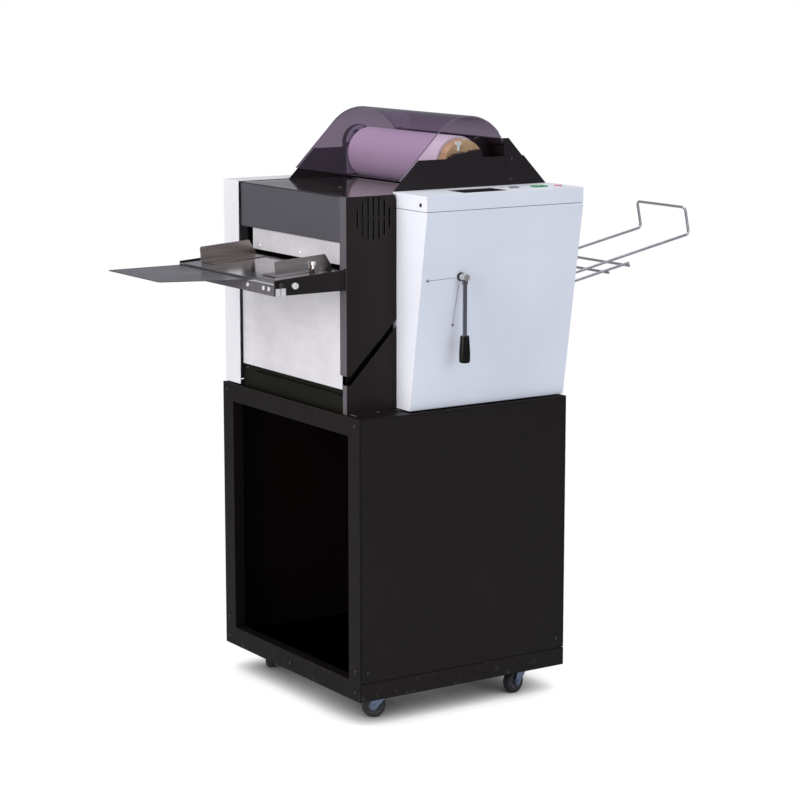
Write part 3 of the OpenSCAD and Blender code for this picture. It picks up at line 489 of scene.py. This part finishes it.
def soften(obj, edge_mm):
    """Smooth shading, and a rounded edge of that width where edge_mm isn't 0."""
    obj.modifiers.new("soft_shading", "NODES").node_group = SOFT_SHADING
    if edge_mm:
        flat = obj.modifiers.new("flat_faces", "DECIMATE")
        flat.decimate_type = "DISSOLVE"
        flat.angle_limit = math.radians(0.2)
        edge = obj.modifiers.new("edge", "BEVEL")
        edge.width = edge_mm * MM
        edge.segments = 2
        edge.limit_method = "ANGLE"
        edge.angle_limit = math.radians(35)
        edge.harden_normals = True


def piece(name, build, materials, body, edge_mm=0.0):
    """A mesh piece made by build(bm), which rides on a body. A face's material_index picks its finish."""
    bm = bmesh.new()
    build(bm)
    bmesh.ops.recalc_face_normals(bm, faces=bm.faces)
    mesh = bpy.data.meshes.new(name)
    bm.to_mesh(mesh)
    bm.free()
    obj = bpy.data.objects.new(name, mesh)
    bpy.context.scene.collection.objects.link(obj)
    for material in materials:
        mesh.materials.append(material)
    soften(obj, edge_mm)
    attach(obj, body)
    return obj


def prism(bm, points, offset):
    """A solid with a flat outline, given as millimetre points, pushed along offset."""
    lower = [bm.verts.new(Vector(p) * MM) for p in points]
    upper = [bm.verts.new((Vector(p) + Vector(offset)) * MM) for p in points]
    bm.faces.new(lower)
    bm.faces.new(list(reversed(upper)))
    for i in range(len(points)):
        k = (i + 1) % len(points)
        bm.faces.new((lower[k], lower[i], upper[i], upper[k]))


def lathe(bm, start, axis, profile, steps=48, material_index=0):
    """A solid of revolution. profile holds (millimetres along axis, radius), and a radius of 0 is a
    point on the axis. A profile that never reaches the axis is closed on itself, as a ring."""
    start, axis = Vector(start), Vector(axis).normalized()
    side = axis.orthogonal().normalized()
    turns = [Matrix.Rotation(2 * math.pi * i / steps, 3, axis) @ side for i in range(steps)]
    rows = []
    for along, radius in profile:
        centre = start + axis * along
        if radius == 0:
            rows.append([bm.verts.new(centre * MM)])
        else:
            rows.append([bm.verts.new((centre + turn * radius) * MM) for turn in turns])
    pairs = list(zip(rows, rows[1:]))
    if len(rows[0]) > 1 and len(rows[-1]) > 1:
        pairs.append((rows[-1], rows[0]))
    for one, two in pairs:
        for i in range(steps):
            k = (i + 1) % steps
            corners = [one[i % len(one)], one[k % len(one)], two[k % len(two)], two[i % len(two)]]
            face = bm.faces.new(list(dict.fromkeys(corners)))
            face.material_index = material_index


def dome(radius, height, foot):
    """The profile of a low rounded head on a foot."""
    rounds = [(foot + height * math.sin(a), radius * math.cos(a))
        for a in (math.radians(d) for d in range(0, 90, 15))]
    return [(0, 0), (0, radius)] + rounds + [(foot + height, 0)]


def arc(centre, radius, start, end, steps):
    """Points (a, b) of an arc, in degrees."""
    return [(centre[0] + radius * math.cos(math.radians(start + (end - start) * i / steps)),
        centre[1] + radius * math.sin(math.radians(start + (end - start) * i / steps)))
        for i in range(steps + 1)]


def islands(node):
    """The lowest and highest corner, in millimetres, and the points of each separate solid of a node."""
    bm = bmesh.new()
    bm.from_mesh(NODES[node].data)
    bmesh.ops.remove_doubles(bm, verts=bm.verts, dist=0.002 * MM)
    unseen = set(bm.verts)
    found = []
    while unseen:
        reached = [unseen.pop()]
        for vert in reached:
            near = {edge.other_vert(vert) for edge in vert.link_edges} & unseen
            unseen -= near
            reached.extend(near)
        points = [vert.co / MM for vert in reached]
        low = Vector(min(p[i] for p in points) for i in range(3))
        high = Vector(max(p[i] for p in points) for i in range(3))
        found.append((low, high, points))
    bm.free()
    return sorted(found, key=lambda item: tuple(round(v, 1) for v in item[0]))


# ---------------------------------------------------------------- CAD nodes

def finish_nodes():
    """Gives each CAD node its finish and rounded edges."""
    edge_mm = {name: width for width, names in EDGES_MM.items() for name in names}
    for material, names in NODE_FINISH.items():
        for name in names:
            obj = NODES[name]
            for slot in obj.material_slots:
                slot.material = material
            soften(obj, edge_mm.get(name, 0.0))


# ---------------------------------------------------------------- film cover

ARCH_CENTRE = (314.0, 1137.0)
ARCH_RADIUS = 102.5
ARCH_END = 27           # where the arch meets the hinge, in degrees up from +Y
ARCH_STEPS = 44
FRONT_SLOPE = 45        # degrees
SHEET_T = 2.5
EAR_INSET = 2.2         # how far the sheet steps in on each side behind the hinge ears
EAR_RUN = 20            # how far in front of the hinge line it steps in


def cover_stations():
    """(outer point, inner point, half width) along the cover, from its foot to its hinge."""
    low, high = box_mm("film_cover")
    hinge_y = JOINTS["cover_hinge"]["pos_m"][1] / MM
    half, ear_half = high.x, high.x - EAR_INSET
    outer = arc(ARCH_CENTRE, ARCH_RADIUS, 90 + FRONT_SLOPE, ARCH_END, ARCH_STEPS)
    inner = arc(ARCH_CENTRE, ARCH_RADIUS - SHEET_T, 90 + FRONT_SLOPE, ARCH_END, ARCH_STEPS)
    rise = outer[0][1] - low.z
    foot = (outer[0][0] - rise / math.tan(math.radians(FRONT_SLOPE)), low.z)
    foot_in = (foot[0] + SHEET_T / math.sin(math.radians(FRONT_SLOPE)), low.z)
    yield foot, foot_in, half
    notched = False
    for out_point, in_point in zip(outer, inner):
        if out_point[0] > hinge_y - EAR_RUN and not notched:
            yield out_point, in_point, half
            notched = True
        yield out_point, in_point, ear_half if notched else half


def build_cover(bm):
    """The bent sheet. Its two sides and the underside of its foot have the edge finish, a painted highlight
    for the light line along the cut edges.
    """
    rows = []
    for out_point, in_point, half in cover_stations():
        rows.append([bm.verts.new(mm(x, *point)) for x, point in
            ((-half, out_point), (half, out_point), (half, in_point), (-half, in_point))])
    bm.faces.new(rows[0])
    bm.faces.new(list(reversed(rows[-1])))
    for one, two in zip(rows, rows[1:]):
        for i in range(4):
            k = (i + 1) % 4
            face = bm.faces.new((one[k], one[i], two[i], two[k]))
            if face.calc_area() < 1e-12:
                bm.faces.remove(face)
            elif i in (1, 3):
                face.material_index = 1
    for face in bm.faces:
        if abs(face.normal.z) > 0.99 and face.calc_center_median().z < rows[0][0].co.z + MM:
            face.material_index = 1


def film_cover():
    """The smoked cover over the film roll."""
    cover = piece("smoked_cover", build_cover, [ACRYLIC, ACRYLIC_EDGE_HIGHLIGHT], "cover")
    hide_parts("film_cover")


# ---------------------------------------------------------------- screws and knobs

def cross_head(bm, centre, out, radius=4.0, height=2.0):
    """A pan head with a cross recess, standing on a face at centre."""
    out = Vector(out)
    side = out.orthogonal().normalized()
    up = out.cross(side)
    levels = 9
    steps = 40
    rows = []
    for level in range(levels):
        share = level / (levels - 1)
        ring_radius = radius * (1 - share * share)
        top = height * math.sin(math.radians(20 + 70 * share))
        row = []
        for i in range(1 if level == levels - 1 else steps):
            angle = 2 * math.pi * i / steps
            a, b = ring_radius * math.cos(angle), ring_radius * math.sin(angle)
            in_cross = min(abs(a), abs(b)) < 0.16 * radius and max(abs(a), abs(b)) < 0.6 * radius
            drop = 0.45 * height if in_cross else 0.0
            row.append(bm.verts.new((Vector(centre) + side * a + up * b + out * (top - drop)) * MM))
        rows.append(row)
    foot = [bm.verts.new((Vector(centre) + side * radius * math.cos(2 * math.pi * i / steps)
        + up * radius * math.sin(2 * math.pi * i / steps)) * MM) for i in range(steps)]
    bm.faces.new(foot)
    for one, two in zip([foot] + rows, rows):
        for i in range(steps):
            k = (i + 1) % steps
            corners = [one[i], one[k], two[k % len(two)], two[i % len(two)]]
            bm.faces.new(list(dict.fromkeys(corners)))


def screw_places():
    """(centre of the seat, outward direction) of each screw of the case."""
    shank_reach = 3.5   # only a head has points farther than this from its axis
    for low, high, points in islands("case_screws"):
        size = high - low
        middle = (low + high) / 2
        k = min(range(3), key=lambda i: size[i])
        axis = Vector([1.0 if i == k else 0.0 for i in range(3)])
        wide = [p for p in points if ((p - middle) - axis * (p - middle).dot(axis)).length > shank_reach]
        out = axis if sum(p[k] for p in wide) / len(wide) > middle[k] else -axis
        seat = middle.copy()
        seat[k] = min(p[k] for p in wide) if out[k] > 0 else max(p[k] for p in wide)
        yield seat, out


def case_screws():
    """Bright screws in the galvanised plate over the table, blackened ones everywhere else."""
    low, high = box_mm("entry_plate")
    shank, shank_r = 4, 2
    places = list(screw_places())
    bright = [(seat, out) for seat, out in places if out.y < 0 and low.z < seat.z < high.z]
    dark = [place for place in places if place not in bright]
    for name, chosen, material in (("bright", bright, SCREW_STEEL), ("black", dark, SCREW_BLACK)):

        def build(bm):
            for seat, out in chosen:
                cross_head(bm, seat, out)
                profile = [(0, 0), (0, shank_r), (shank, shank_r), (shank, 0)]
                lathe(bm, seat - out * shank, out, profile, 16)

        screws = piece("cross_head_screws_" + name, build, [material], "machine")
        if chosen is dark:
            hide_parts("case_screws")


def thumb_knob(radius, height):
    """The profile of a turned knob with a rounded rim and a shallow waist."""
    return [(0, 0), (0, radius * 0.72), (height * 0.25, radius * 0.72), (height * 0.4, radius * 0.94),
        (height * 0.5, radius), (height * 0.85, radius), (height * 0.95, radius * 0.93),
        (height, radius * 0.8), (height, 0)]


def knob(bm, low, high, face, out):
    """A turned knob in place of the plain one from low to high, on a face of the tray."""
    k = max(range(3), key=lambda i: abs(out[i]))
    seat = (low + high) / 2
    seat[k] = face
    lathe(bm, seat, out, thumb_knob((high.z - low.z) / 2, high[k] - low[k]))


def across_x(x, y0, y1, z0, z1):
    """The corners of a rectangle that faces along X."""
    return [(x, y0, z0), (x, y1, z0), (x, y1, z1), (x, y0, z1)]


def clamp_plate(bm, low, high):
    """A plate in two halves, with a slit between them and a thin bridge along the bottom."""
    half_slit, bridge_t, bridge_h = 0.6, 0.5, 2
    middle_y = (low.y + high.y) / 2
    for y0, y1 in ((low.y, middle_y - half_slit), (middle_y + half_slit, high.y)):
        prism(bm, across_x(low.x, y0, y1, low.z, high.z), (high.x - low.x, 0, 0))
    prism(bm, across_x(low.x, low.y, high.y, low.z, low.z + bridge_h), (bridge_t, 0, 0))


def tray_fittings():
    """The tray's front screws, its two side knobs and the split clamp plate under the first."""
    tray_low, tray_high = box_mm("tray_frame")
    thin, wide, long_knob, touching = 1.5, 20, 9, 0.1
    plates, bright_knobs, black_knobs = [], [], []
    for low, high, _ in islands("tray_thumbscrews"):
        size = high - low
        if min(size) < thin and max(size) > wide:
            plates.append((low, high))
        elif high.y <= tray_low.y + touching:
            bright_knobs.append((low, high, tray_low.y, (0, -1, 0)))
        elif size.x > long_knob:
            bright_knobs.append((low, high, tray_high.x, (1, 0, 0)))
        else:
            black_knobs.append((low, high, tray_high.x, (1, 0, 0)))

    def build_bright(bm):
        for placed in bright_knobs:
            knob(bm, *placed)
        for low, high in plates:
            clamp_plate(bm, low, high)

    def build_black(bm):
        for placed in black_knobs:
            knob(bm, *placed)

    bright = piece("tray_screws_bright", build_bright, [SCREW_STEEL], "machine", 0.2)
    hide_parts("tray_thumbscrews")
    piece("tray_knob_black", build_black, [BUSHING_BLACK], "machine", 0.2)


# x, width, and the two heights above the tray's lower edge
TRAY_JOINT = (142.4, 1.2, 1, 20)
TRAY_SLOT = (118.0, 2.4, 2, 8)
LINE_LIFT = 0.08


def tray_front():
    """The joint and the slot in the tray's front, which show as dark lines."""
    low = box_mm("tray_frame")[0]

    def build(bm):
        for x, width, foot, head in (TRAY_JOINT, TRAY_SLOT):
            z0, z1 = low.z + foot, low.z + head
            outline = [(x, low.y, z0), (x + width, low.y, z0), (x + width, low.y, z1), (x, low.y, z1)]
            prism(bm, outline, (0, -LINE_LIFT, 0))

    piece("tray_front_lines", build, [BUSHING_BLACK], "machine")


def guide_clamp():
    """The clamp screw that holds the right paper guide on the table."""
    low, high = box_mm("right_guide")
    seat = (high.x - 6.5, -42.4, low.z + 12)
    shank, shank_r = 8, 3.2
    head, head_r = 7, 5.4
    profile = [(0, 0), (0, shank_r), (shank, shank_r), (shank, head_r), (shank + head - 1, head_r),
        (shank + head, head_r - 0.8), (shank + head, 0)]

    def build(bm):
        lathe(bm, seat, (0, 0, 1), profile)

    clamp = piece("guide_clamp_screw", build, [SCREW_STEEL], "guide_right", 0.3)


# ---------------------------------------------------------------- castors

def castors():
    """Each wheel as a tyre on a stepped hub, bored for the axle."""
    tyre_r, half, hub_r, bore_r = 25.0, 10.0, 17.0, 4.06
    tyre = [(-half + 1.0, hub_r), (-half, hub_r + 1.5), (-half, tyre_r - 4.5), (-half + 0.8, tyre_r - 2.2),
        (-half + 2.6, tyre_r - 0.7), (-half + 5, tyre_r - 0.1), (0, tyre_r), (half - 5, tyre_r - 0.1),
        (half - 2.6, tyre_r - 0.7), (half - 0.8, tyre_r - 2.2), (half, tyre_r - 4.5),
        (half, hub_r + 1.5), (half - 1.0, hub_r)]
    hub = [(-half + 1.6, hub_r), (-half + 1.6, hub_r - 2), (-half + 4, hub_r - 4), (-half + 4, 8),
        (-half, 7), (-half, bore_r), (half, bore_r), (half, 7), (half - 4, 8), (half - 4, hub_r - 4),
        (half - 1.6, hub_r - 2), (half - 1.6, hub_r)]
    for key in ("fr", "fl", "rr", "rl"):
        joint = JOINTS["wheel_%s_roll" % key]
        centre = Vector(joint["pos_m"]) / MM
        axis = Vector(joint["axis"])

        def build(bm):
            lathe(bm, centre, axis, tyre, 64, 0)
            lathe(bm, centre, axis, hub, 48, 1)

        wheel = piece("castor_tyre_" + key, build, [CASTOR_RUBBER, HUB_GREY], "wheel_" + key)
        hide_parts("castor_wheel_" + key)


# ---------------------------------------------------------------- lever marks

# the right cover's sloping side face: heights of its foot and top, x of its top, and how far it leans
FACE_FOOT_Z = 648.0
FACE_TOP_Z = 1054.0
FACE_TOP_X = 330.0
FACE_RUN = 62.0
PRINT_LIFT = 0.12
SIGN_LIFT = 0.25


def on_face(y, z):
    """A point on the right cover's sloping side face."""
    tilt = FACE_RUN / (FACE_TOP_Z - FACE_FOOT_Z)
    return Vector((FACE_TOP_X - (FACE_TOP_Z - z) * tilt, y, z))


def stroke(bm, start, end, width):
    """A printed line on the sloping face, from (y, z) to (y, z)."""
    start, end = Vector(start), Vector(end)
    across = (end - start).normalized().orthogonal() * width / 2
    corners = [start - across, start + across, end + across, end - across]
    prism(bm, [on_face(*corner) for corner in corners], (PRINT_LIFT, 0, 0))


def arrow_tip(bm, tip, toward, size):
    """A printed triangle on the sloping face that points along toward."""
    tip, toward = Vector(tip), Vector(toward).normalized()
    back = tip - toward * size
    across = toward.orthogonal() * size * 0.55
    prism(bm, [on_face(*corner) for corner in (tip, back + across, back - across)], (PRINT_LIFT, 0, 0))


def lever_marks():
    """Two thin lines with arrow tips that show where the lever goes."""
    width, tip = 0.9, 7.0
    level = [(211.0, 921.5), (140.0, 919.5)]
    slanted = [(221.5, 906.0), (216.0, 818.0)]

    def build(bm):
        for (start, end), toward in ((level, (-1, -0.03)), (slanted, (-0.06, -1))):
            stroke(bm, start, end, width)
            arrow_tip(bm, end, toward, tip)

    piece("lever_marks", build, [PRINT_GREY], "machine")


# ---------------------------------------------------------------- control panel

def panel_marks():
    """Generic printed marks beside the keys, and a raised sign on the start and stop keys."""
    top = box_mm("control_box")[1].z
    start_low, start_high = box_mm("start_button")
    stop_low, stop_high = box_mm("stop_button")
    menu_low, menu_high = box_mm("menu_key")

    def pad(bm, x, y, wide, deep, z=top, height=PRINT_LIFT):
        outline = [(x - wide / 2, y - deep / 2, z), (x + wide / 2, y - deep / 2, z),
            (x + wide / 2, y + deep / 2, z), (x - wide / 2, y + deep / 2, z)]
        prism(bm, outline, (0, 0, height))

    def build_print(bm):
        for x, y in ((252, 367), (282, 371)):
            pad(bm, x, y, 8, 6)
        for low, high in ((menu_low, menu_high), (start_low, start_high), (stop_low, stop_high)):
            pad(bm, high.x + 6, (low.y + high.y) / 2, 1.2, (high.y - low.y) * 0.6)

    def build_start(bm):
        middle = (start_low + start_high) / 2
        points = [(middle.x - 3.5, middle.y - 4, start_high.z), (middle.x + 4, middle.y, start_high.z),
            (middle.x - 3.5, middle.y + 4, start_high.z)]
        prism(bm, points, (0, 0, SIGN_LIFT))

    def build_stop(bm):
        middle = (stop_low + stop_high) / 2
        pad(bm, middle.x, middle.y, 5, 5, stop_high.z, SIGN_LIFT)

    piece("panel_print", build_print, [PRINT_GREY], "machine")
    piece("start_sign", build_start, [COVER_WHITE], "start")
    piece("stop_sign", build_stop, [COVER_WHITE], "stop")


# ---------------------------------------------------------------- film bay details

def roll_clip():
    """The T-shaped spring clip that grips the core's open end."""
    x = box_mm("film_core")[1].x
    y, z = 303.0, 1176.0
    clip_t = 1.5
    outline = [(x, y - 8, z + 9.5), (x, y - 8, z + 3), (x, y - 3.2, z + 1.5), (x, y - 2.4, z - 10),
        (x, y + 4, z - 10), (x, y + 3.2, z + 1.5), (x, y + 8, z + 3), (x, y + 8, z + 9.5)]

    def build(bm):
        prism(bm, outline, (clip_t, 0, 0))

    clip = piece("core_clip", build, [SCREW_STEEL], "roll", 0.4)


def left_cradle():
    """The light plate on the left holder that the core runs against, with its knob and fork."""
    x = box_mm("left_bracket")[1].x
    shaft_y, shaft_z = ROLL_CENTRE.y / MM, ROLL_CENTRE.z / MM
    y0, y1, foot_z = 266, 340, 1095
    plate_t, slot_r = 1.2, 9.0
    crown = arc((303, 1162), 38, 170, 10, 24)
    slot = arc((shaft_y, shaft_z), slot_r, 180, 360, 12)
    fork_y, fork_z, fork_t = 262, 1153, 4
    outline = [(y0, foot_z)] + crown[:1]
    outline += [point for point in crown if point[0] < shaft_y - slot_r]
    outline += [(shaft_y - slot_r, max(z for y, z in crown if y > shaft_y - slot_r))]
    outline += slot
    outline += [(shaft_y + slot_r, max(z for y, z in crown if y > shaft_y + slot_r))]
    outline += [point for point in crown if point[0] > shaft_y + slot_r] + [(y1, foot_z)]

    def build(bm):
        prism(bm, [(x, y, z) for y, z in outline], (plate_t, 0, 0))

    def build_dark(bm):
        lathe(bm, (x + plate_t, 289, 1184), (1, 0, 0), thumb_knob(7, 5))
        fork = [(0, 10), (12, 10), (12, 6), (4, 6), (4, 0), (0, 0)]
        prism(bm, [(x + plate_t, fork_y + y, fork_z + z) for y, z in fork], (fork_t, 0, 0))

    plate = piece("roll_cradle_plate", build, [CRADLE_GREY], "machine")
    piece("roll_cradle_knob", build_dark, [BUSHING_BLACK], "machine", 0.3)


def small_studs():
    """A stud on the top plate and a screw on the hinge bar's front."""
    def build_top(bm):
        lathe(bm, (22, 117, box_mm("top_plate")[1].z), (0, 0, 1), dome(3.2, 1.4, 0.3))

    def build_hinge(bm):
        low = box_mm("hinge_bar")[0]
        cross_head(bm, (-170.4, low.y, JOINTS["cover_hinge"]["pos_m"][2] / MM), (0, -1, 0), 3.2, 1.4)

    piece("top_stud", build_top, [SCREW_BLACK], "machine")
    piece("hinge_screw", build_hinge, [SCREW_STEEL], "cover")


# ---------------------------------------------------------------- stage

CAMERA_MM = (4331.7, -2558.2, 1549.5)
CAMERA_TURN = 56.756     # degrees from +Y towards -X
CAMERA_TILT = 10.209     # degrees below the horizon
CAMERA_LENS = 109.24
SMOKED_VIEW = (0.231, 0.206, 0.235)     # the backdrop as it shows through the smoked cover


def camera():
    data = bpy.data.cameras.new("camera")
    data.lens = CAMERA_LENS
    data.sensor_width = 36
    data.clip_start = 0.1
    data.clip_end = 100
    cam = bpy.data.objects.new("camera", data)
    bpy.context.scene.collection.objects.link(cam)
    cam.location = mm(*CAMERA_MM)
    cam.rotation_euler = (math.radians(90 - CAMERA_TILT), 0, math.radians(CAMERA_TURN))
    bpy.context.scene.camera = cam


def floor():
    """A white studio floor. The camera sees it evenly lit, with a soft shadow close to the castors."""
    bm = bmesh.new()
    bmesh.ops.create_circle(bm, cap_ends=True, segments=128, radius=8.0)
    mesh = bpy.data.meshes.new("floor")
    bm.to_mesh(mesh)
    bm.free()
    obj = bpy.data.objects.new("floor", mesh)
    bpy.context.scene.collection.objects.link(obj)
    finish = Finish("studio_floor", (0.80, 0.80, 0.80), 0.6)
    finish.mottle(0.01, 2.0)
    near = finish.node("ShaderNodeAmbientOcclusion", samples=48)
    near.inputs["Distance"].default_value = 0.17
    lit = finish.span(near.outputs["AO"], 0.004, 1.02, 0.12, 0.68)
    path = finish.node("ShaderNodeLightPath")
    tone = finish.node("ShaderNodeMix", data_type="RGBA")
    finish.feed(tone.inputs["Factor"], finish.math("LESS_THAN", path.outputs["Transparent Depth"], 0.5))
    tone.inputs[6].default_value = (*SMOKED_VIEW, 1.0)
    tone.inputs[7].default_value = (1.0, 1.0, 1.0, 1.0)
    glow = finish.node("ShaderNodeEmission")
    finish.feed(glow.inputs["Color"], tone.outputs[2])
    finish.feed(glow.inputs["Strength"], lit)
    both = finish.node("ShaderNodeMixShader")
    finish.feed(both.inputs[0], path.outputs["Is Camera Ray"])
    finish.feed(both.inputs[1], finish.shader.outputs[0])
    finish.feed(both.inputs[2], glow.outputs[0])
    finish.feed(finish.tree.nodes["Material Output"].inputs["Surface"], both.outputs[0])
    mesh.materials.append(finish.material)


def lamp(name, place, size, power, colour, aim=(0, 260, 700)):
    """A soft box at a place in millimetres, turned to its aim."""
    data = bpy.data.lights.new(name, "AREA")
    data.shape = "RECTANGLE"
    data.size, data.size_y = size
    data.energy = power
    data.color = colour
    obj = bpy.data.objects.new(name, data)
    bpy.context.scene.collection.objects.link(obj)
    obj.location = mm(*place)
    obj.rotation_euler = (mm(*aim) - obj.location).to_track_quat("-Z", "Y").to_euler()


def world():
    """White behind the object, darker through its smoked cover, and a soft room for the rest."""
    made = bpy.data.worlds.new("studio")
    bpy.context.scene.world = made
    made.use_nodes = True
    nodes, links = made.node_tree.nodes, made.node_tree.links
    nodes.clear()
    path = nodes.new("ShaderNodeLightPath")
    backs = []
    for colour, strength in (((0.90, 0.93, 1.0), 0.34), (SMOKED_VIEW, 1.0), ((1, 1, 1), 1.0)):
        back = nodes.new("ShaderNodeBackground")
        back.inputs["Color"].default_value = (*colour, 1)
        back.inputs["Strength"].default_value = strength
        backs.append(back)
    room, smoked_view, white = backs
    direct = nodes.new("ShaderNodeMath")
    direct.operation = "LESS_THAN"
    direct.inputs[1].default_value = 0.5
    links.new(path.outputs["Transparent Depth"], direct.inputs[0])
    view = nodes.new("ShaderNodeMixShader")
    links.new(direct.outputs[0], view.inputs[0])
    links.new(smoked_view.outputs[0], view.inputs[1])
    links.new(white.outputs[0], view.inputs[2])
    mix = nodes.new("ShaderNodeMixShader")
    links.new(path.outputs["Is Camera Ray"], mix.inputs[0])
    links.new(room.outputs[0], mix.inputs[1])
    links.new(view.outputs[0], mix.inputs[2])
    output = nodes.new("ShaderNodeOutputWorld")
    links.new(mix.outputs[0], output.inputs["Surface"])


def stage():
    camera()
    floor()
    world()
    lamp("front_box", (500, -3300, 1700), (3.0, 2.4), 118, (1.0, 0.98, 0.99))
    lamp("side_box", (3600, 600, 1900), (2.2, 2.2), 42, (0.77, 0.85, 1.0))
    lamp("top_box", (0, 300, 3600), (3.0, 3.0), 62, (1.0, 1.0, 1.0))
    bpy.context.scene.view_settings.view_transform = "Standard"


finish_nodes()
film_cover()
case_screws()
tray_fittings()
tray_front()
guide_clamp()
castors()
lever_marks()
panel_marks()
roll_clip()
left_cradle()
small_studs()
stage()
